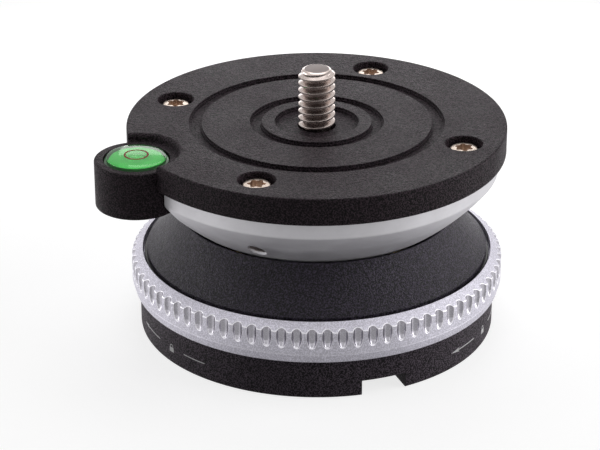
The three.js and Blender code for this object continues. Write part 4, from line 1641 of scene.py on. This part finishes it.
@dataclass
class CameraStud:
    """The 1/4 inch 20 stud in the middle of the plate."""

    radius: float = 3.175
    root: float = 2.42
    pitch: float = 1.27
    flange_radius: float = 6.0
    flange_low: float = 32.925
    flange_high: float = 34.725
    foot: float = 36.64
    top: float = 47.125
    face_radius: float = 2.12
    tip_radius: float = 2.62
    tip_height: float = 0.5  # from the end face to where the thread starts
    steps: int = 64

    def build(self) -> None:
        """Builds the stud."""
        rod = Thread(self.radius, self.root, self.pitch, self.foot - PAST, self.top + PAST, self.steps).rod()
        wide = self.radius + 0.02
        tip = self.top - self.tip_height
        trim = turned([
            (0.0, self.foot), (self.radius - 0.35, self.foot, 0.12), (wide, self.foot + 0.4),
            (wide, tip - 0.45), (self.tip_radius, tip, 0.1), (self.tip_radius - 0.1, self.top - 0.2, 0.1),
            (self.face_radius, self.top, 0.06), (0.0, self.top)], self.steps)
        rod = combined(rod, trim, Cut.COMMON)
        neck = self.root - 0.05
        flange = solid([
            (self.flange_radius, self.flange_low, 0.3), (self.flange_radius, self.flange_high, 0.3),
            (neck, self.flange_high, 0.2), (neck, self.foot + 0.2)], MEDIUM_STEPS)
        whole = combined(flange, rod, Cut.ONTO)
        # the end face takes the much darker steel, painted shade on the stud's top
        for face in whole.faces:
            face.material_index = int(face.calc_center_median().z > self.top - 0.01)
        finished("threaded_stud", whole, STUD_STEEL, Body.HEAD, "camera_stud", others=(STUD_END_PAINTED_SHADE,))


@dataclass
class BubbleVial:
    """The round bubble level in the ear."""

    radius: float = 5.35
    flange_radius: float = 5.52
    top_radius: float = 5.1
    low: float = 30.325
    top: float = 36.725
    flange: float = 1.0  # how far the flange lies below the top
    flange_height: float = 0.8
    wall: float = 0.85
    roof: float = 35.625
    crown: float = 0.35
    plug_height: float = 1.0
    fluid_low: float = 31.35
    mark_radius: float = 1.96
    mark_width: float = 0.33
    mark_depth: float = 0.022
    bubble: float = 1.55
    bubble_depth: float = 0.5

    def cup(self) -> BMesh:
        """Shapes the clear cup with its crowned top and low flange.

        Returns:
            The closed cup, with its outer faces marked for the darker finish that paints the shade round its
            rim and flange.
        """
        hollow = self.radius - self.wall
        shoulder = [(self.top_radius * across, self.top - self.flange * down) for across, down in (
            (0.0, 0.0), (0.33, 0.012), (0.56, 0.04), (0.76, 0.10), (0.9, 0.18), (0.96, 0.25), (0.99, 0.34),
            (1.0, 0.46), (1.0, 0.98))]
        flange_top = self.top - self.flange
        flange_low = flange_top - self.flange_height
        cup = turned([
            *shoulder, (self.flange_radius, flange_top, 0.1), (self.flange_radius, flange_low, 0.1),
            (self.radius, flange_low - 0.1), (self.radius, self.low, 0.15), (hollow, self.low),
            (hollow, self.roof - self.crown, 0.15), (hollow / 2, self.roof - self.crown / 4),
            (0.0, self.roof)], MEDIUM_STEPS, EAR)
        # the outer wall and flange take the dark green, painted shade of the hole round the vial
        for face in cup.faces:
            out = face.calc_center_median().xy - Vector(EAR)
            face.material_index = int(out.length > self.top_radius - 0.02)
        return cup

    def fluid(self) -> BMesh:
        """Shapes the fluid with the dent that its bubble makes under the roof.

        Returns:
            The closed fluid.
        """
        radius = self.radius - self.wall + 0.01
        roof = self.roof + 0.01
        return turned([
            (0.0, self.fluid_low), (radius, self.fluid_low, 0.1), (radius, roof - self.crown, 0.15),
            (radius / 2, roof - self.crown / 4), (self.bubble, roof - self.crown / 8, 0.03),
            (self.bubble * 0.92, roof - self.bubble_depth * 0.44, 0.06),
            (self.bubble * 0.6, roof - self.bubble_depth * 0.84, 0.1), (0.0, roof - self.bubble_depth)],
            MEDIUM_STEPS, EAR)

    def build(self) -> None:
        """Builds the vial's pieces."""
        finished("vial_case", self.cup(), ACRYLIC, Body.HEAD, "vial_cup", others=(ACRYLIC_EDGE_PAINTED_SHADE,))
        finished("vial_liquid", self.fluid(), FLUID, Body.HEAD, "vial_fluid")
        hollow, high = self.radius - self.wall - 0.05, self.low + self.plug_height
        plug = turned([(0.0, self.low), (hollow, self.low, 0.15), (hollow, high, 0.15), (0.0, high)],
                      MEDIUM_STEPS, EAR)
        finished("vial_back", plug, WHITE_ACRYLIC, Body.HEAD, "vial_plug")
        low, half = self.top - self.mark_depth, self.mark_width / 2
        inside, outside = self.mark_radius - half, self.mark_radius + half
        mark = turned([(inside, low), (outside, low), (outside, self.top), (inside, self.top)],
                      MEDIUM_STEPS, EAR)
        finished("vial_mark", mark, RED_PRINT, Body.HEAD)


# Studio


def swung(first: Vector, second: Vector, angle: float) -> tuple[Vector, Vector]:
    """Turns two crossed axes in their own plane, the first towards the second."""
    along, across = math.cos(angle), math.sin(angle)
    return first * along + second * across, second * along - first * across


@dataclass
class Camera:
    """The camera at the photograph's viewing angle."""

    elevation: float = math.radians(24.922)
    distance: float = 420.0
    aim_height: float = 19.425  # the point that the distance is measured from
    heading: float = math.radians(-23.5)
    yaw: float = math.radians(-0.399)
    pitch: float = math.radians(-0.249)
    roll: float = math.radians(0.09)
    focal_pixels: float = 2375.5
    frame_width: int = 600
    sensor: float = 36.0

    def build(self) -> None:
        """Places the camera and makes it the scene's."""
        back = Vector((0.0, -math.cos(self.elevation), math.sin(self.elevation)))
        ahead, right = -back, Vector((1.0, 0.0, 0.0))
        up = right.cross(ahead)
        ahead, right = swung(ahead, right, self.yaw)
        ahead, up = swung(ahead, up, self.pitch)
        right, up = swung(right, up, self.roll)
        place = back * self.distance + Vector((0.0, 0.0, self.aim_height))
        axes = Matrix((right, up, -ahead)).transposed().to_4x4()
        data = bpy.data.cameras.new("camera")
        data.sensor_width = self.sensor
        data.lens = self.focal_pixels / self.frame_width * self.sensor
        data.clip_start, data.clip_end = 0.01, 20.0
        camera = shown("camera", data)
        camera.matrix_world = Matrix.Rotation(self.heading, 4, "Z") @ Matrix.Translation(place * MM) @ axes
        bpy.context.scene.camera = camera


@dataclass(frozen=True)
class Lamp:
    """A square soft box, placed by its bearing from the camera's side."""

    name: str
    bearing: float  # degrees to the right of the camera, seen from above
    height: float  # degrees above the horizon
    away: float  # metres
    size: float  # metres
    power: float

    def build(self, heading: float) -> None:
        """Places the soft box and turns it towards the head.

        Args:
            heading: The direction of the camera, in radians.
        """
        data = bpy.data.lights.new(self.name, "AREA")
        data.shape = "SQUARE"
        data.size = self.size
        data.energy = self.power
        lamp = shown(self.name, data)
        height = math.radians(self.height)
        angle = heading - QUARTER_TURN + math.radians(self.bearing)
        toward = Vector((*on_circle(math.cos(height), angle), math.sin(height)))
        lamp.location = toward * self.away + Vector((0.0, 0.0, 0.02))
        lamp.rotation_euler = toward.to_track_quat("Z", "Y").to_euler()


@dataclass
class Studio:
    """The pale floor, the white surround and the soft boxes."""

    surround: float = 0.12  # strength of the surround as a light, beside its strength to look at
    ahead: float = 0.8  # how bright the surround is on the camera's side, of full white
    beside: float = 1.2  # how bright it is at both sides
    above: float = 1.4  # how bright it is overhead
    behind: float = 0.6  # how bright it is behind the head
    floor_size: float = 6.0  # metres
    floor_colour: float = 0.40
    floor_glow: float = 0.78  # how much the floor shines to look at
    floor_mirrored: float = 1.0  # share of that in reflections, at both sides and behind
    floor_ahead: float = 0.54  # share of that in reflections, on the camera's side
    lamps: tuple[Lamp, ...] = (
        Lamp("top_box", 176.0, 62.0, 0.22, 0.14, 0.12),
        Lamp("back_box", 178.0, 10.0, 0.16, 0.12, 0.08),
        Lamp("left_box", -104.0, 4.0, 0.6, 0.5, 1.7),
        Lamp("right_box", 87.0, 20.0, 0.6, 0.5, 1.9))

    def looked_at(self, shader: Shader, mirrored: Any = 1.0) -> Any:
        """Gives how much of a surface's own brightness is seen.

        Args:
            shader: The surface's node tree.
            mirrored: What a reflection or a clear solid sees of it, a number or a socket.

        Returns:
            1 for the camera, that share in reflections and clear solids, and 0 for other light.
        """
        path = shader.add("ShaderNodeLightPath").outputs
        seen = shader.worked("MAXIMUM", path["Is Glossy Ray"], path["Is Transmission Ray"])
        return shader.worked("MAXIMUM", path["Is Camera Ray"], shader.worked("MULTIPLY", seen, mirrored))

    def floor(self, heading: float) -> None:
        """Makes the floor, which looks white and keeps the head's shadow.

        Args:
            heading: The direction of the camera, in radians.
        """
        mesh = bmesh.new()
        bmesh.ops.create_grid(mesh, x_segments=1, y_segments=1, size=self.floor_size)
        floor = shown("floor", data_of("floor", mesh))
        floor.location.z = -0.05 * MM
        shader = Shader.of_material("floor_white")
        outward = shader.vector("NORMALIZE", shader.place)["Vector"]
        camera_side = (math.sin(heading), -math.cos(heading), 0.0)
        ahead = shader.vector("DOT_PRODUCT", outward, camera_side)["Value"]
        near, full = 0.55, 0.88  # where the dimming on the camera's side starts and where it is full
        mirrored = shader.ranged(ahead, near, full, self.floor_mirrored, self.floor_ahead)
        glossy = shader.add("ShaderNodeLightPath").outputs["Is Glossy Ray"]
        dimming = shader.ranged(ahead, near, full, 0.0, 1 - self.floor_ahead)
        dimmed = shader.worked("MULTIPLY", glossy, dimming)
        colour = shader.mixed(dimmed, (self.floor_colour,) * 3, (0.0, 0.0, 0.0))
        glow = shader.worked("MULTIPLY", self.looked_at(shader, mirrored), self.floor_glow)
        shader.set(Base_Color=colour, Roughness=0.9, Specular_IOR_Level=0.0,
                   Emission_Color=(1.0, 1.0, 1.0, 1.0), Emission_Strength=glow)
        floor.data.materials.append(shader.owner)

    def surroundings(self, heading: float) -> None:
        """Makes the pale world: white to look at, brightest at both sides of the head.

        Args:
            heading: The direction of the camera, in radians.
        """
        world = bpy.data.worlds.new("studio")
        bpy.context.scene.world = world
        shader = Shader(world, "Background", "Generated")
        across = (math.cos(heading), math.sin(heading), 0.0)
        away = (-math.sin(heading), math.cos(heading), 0.0)
        sideways, backward = (
            shader.vector("DOT_PRODUCT", shader.place, way)["Value"] for way in (across, away))
        upward = shader.parts(shader.place)["Z"]
        pale = shader.ranged(shader.worked("ABSOLUTE", sideways), 0.35, 0.9, self.ahead, self.beside)
        for share, start, end in ((backward, 0.2, self.behind), (upward, 0.4, self.above)):
            pale = shader.worked("MAXIMUM", pale, shader.ranged(share, start, start + 0.5, 0.0, end))
        camera = shader.add("ShaderNodeLightPath").outputs["Is Camera Ray"]
        strength = shader.ranged(self.looked_at(shader), 0.0, 1.0, self.surround, 1.0)
        shader.set(Color=shader.worked("MAXIMUM", pale, camera), Strength=strength)

    def build(self, camera: Camera) -> None:
        """Builds the studio round the head.

        Args:
            camera: The camera, whose heading the soft boxes go by.
        """
        self.floor(camera.heading)
        self.surroundings(camera.heading)
        for lamp in self.lamps:
            lamp.build(camera.heading)
        bpy.context.scene.view_settings.view_transform = "Standard"


def main() -> None:
    """Builds the head and its studio."""
    logging.basicConfig(level=logging.INFO, format="%(message)s")
    camera = Camera()
    camera.build()
    for assembly in (Base(), TurningMarks(), LockRing(), FlaredBody(), ClampStack(), Bowl(), TopPlate(),
                     PlateScrews(), CameraStud(), BubbleVial()):
        log.info("building %s", type(assembly).__name__)
        assembly.build()
    Studio().build(camera)


if __name__ == "__main__":
    main()
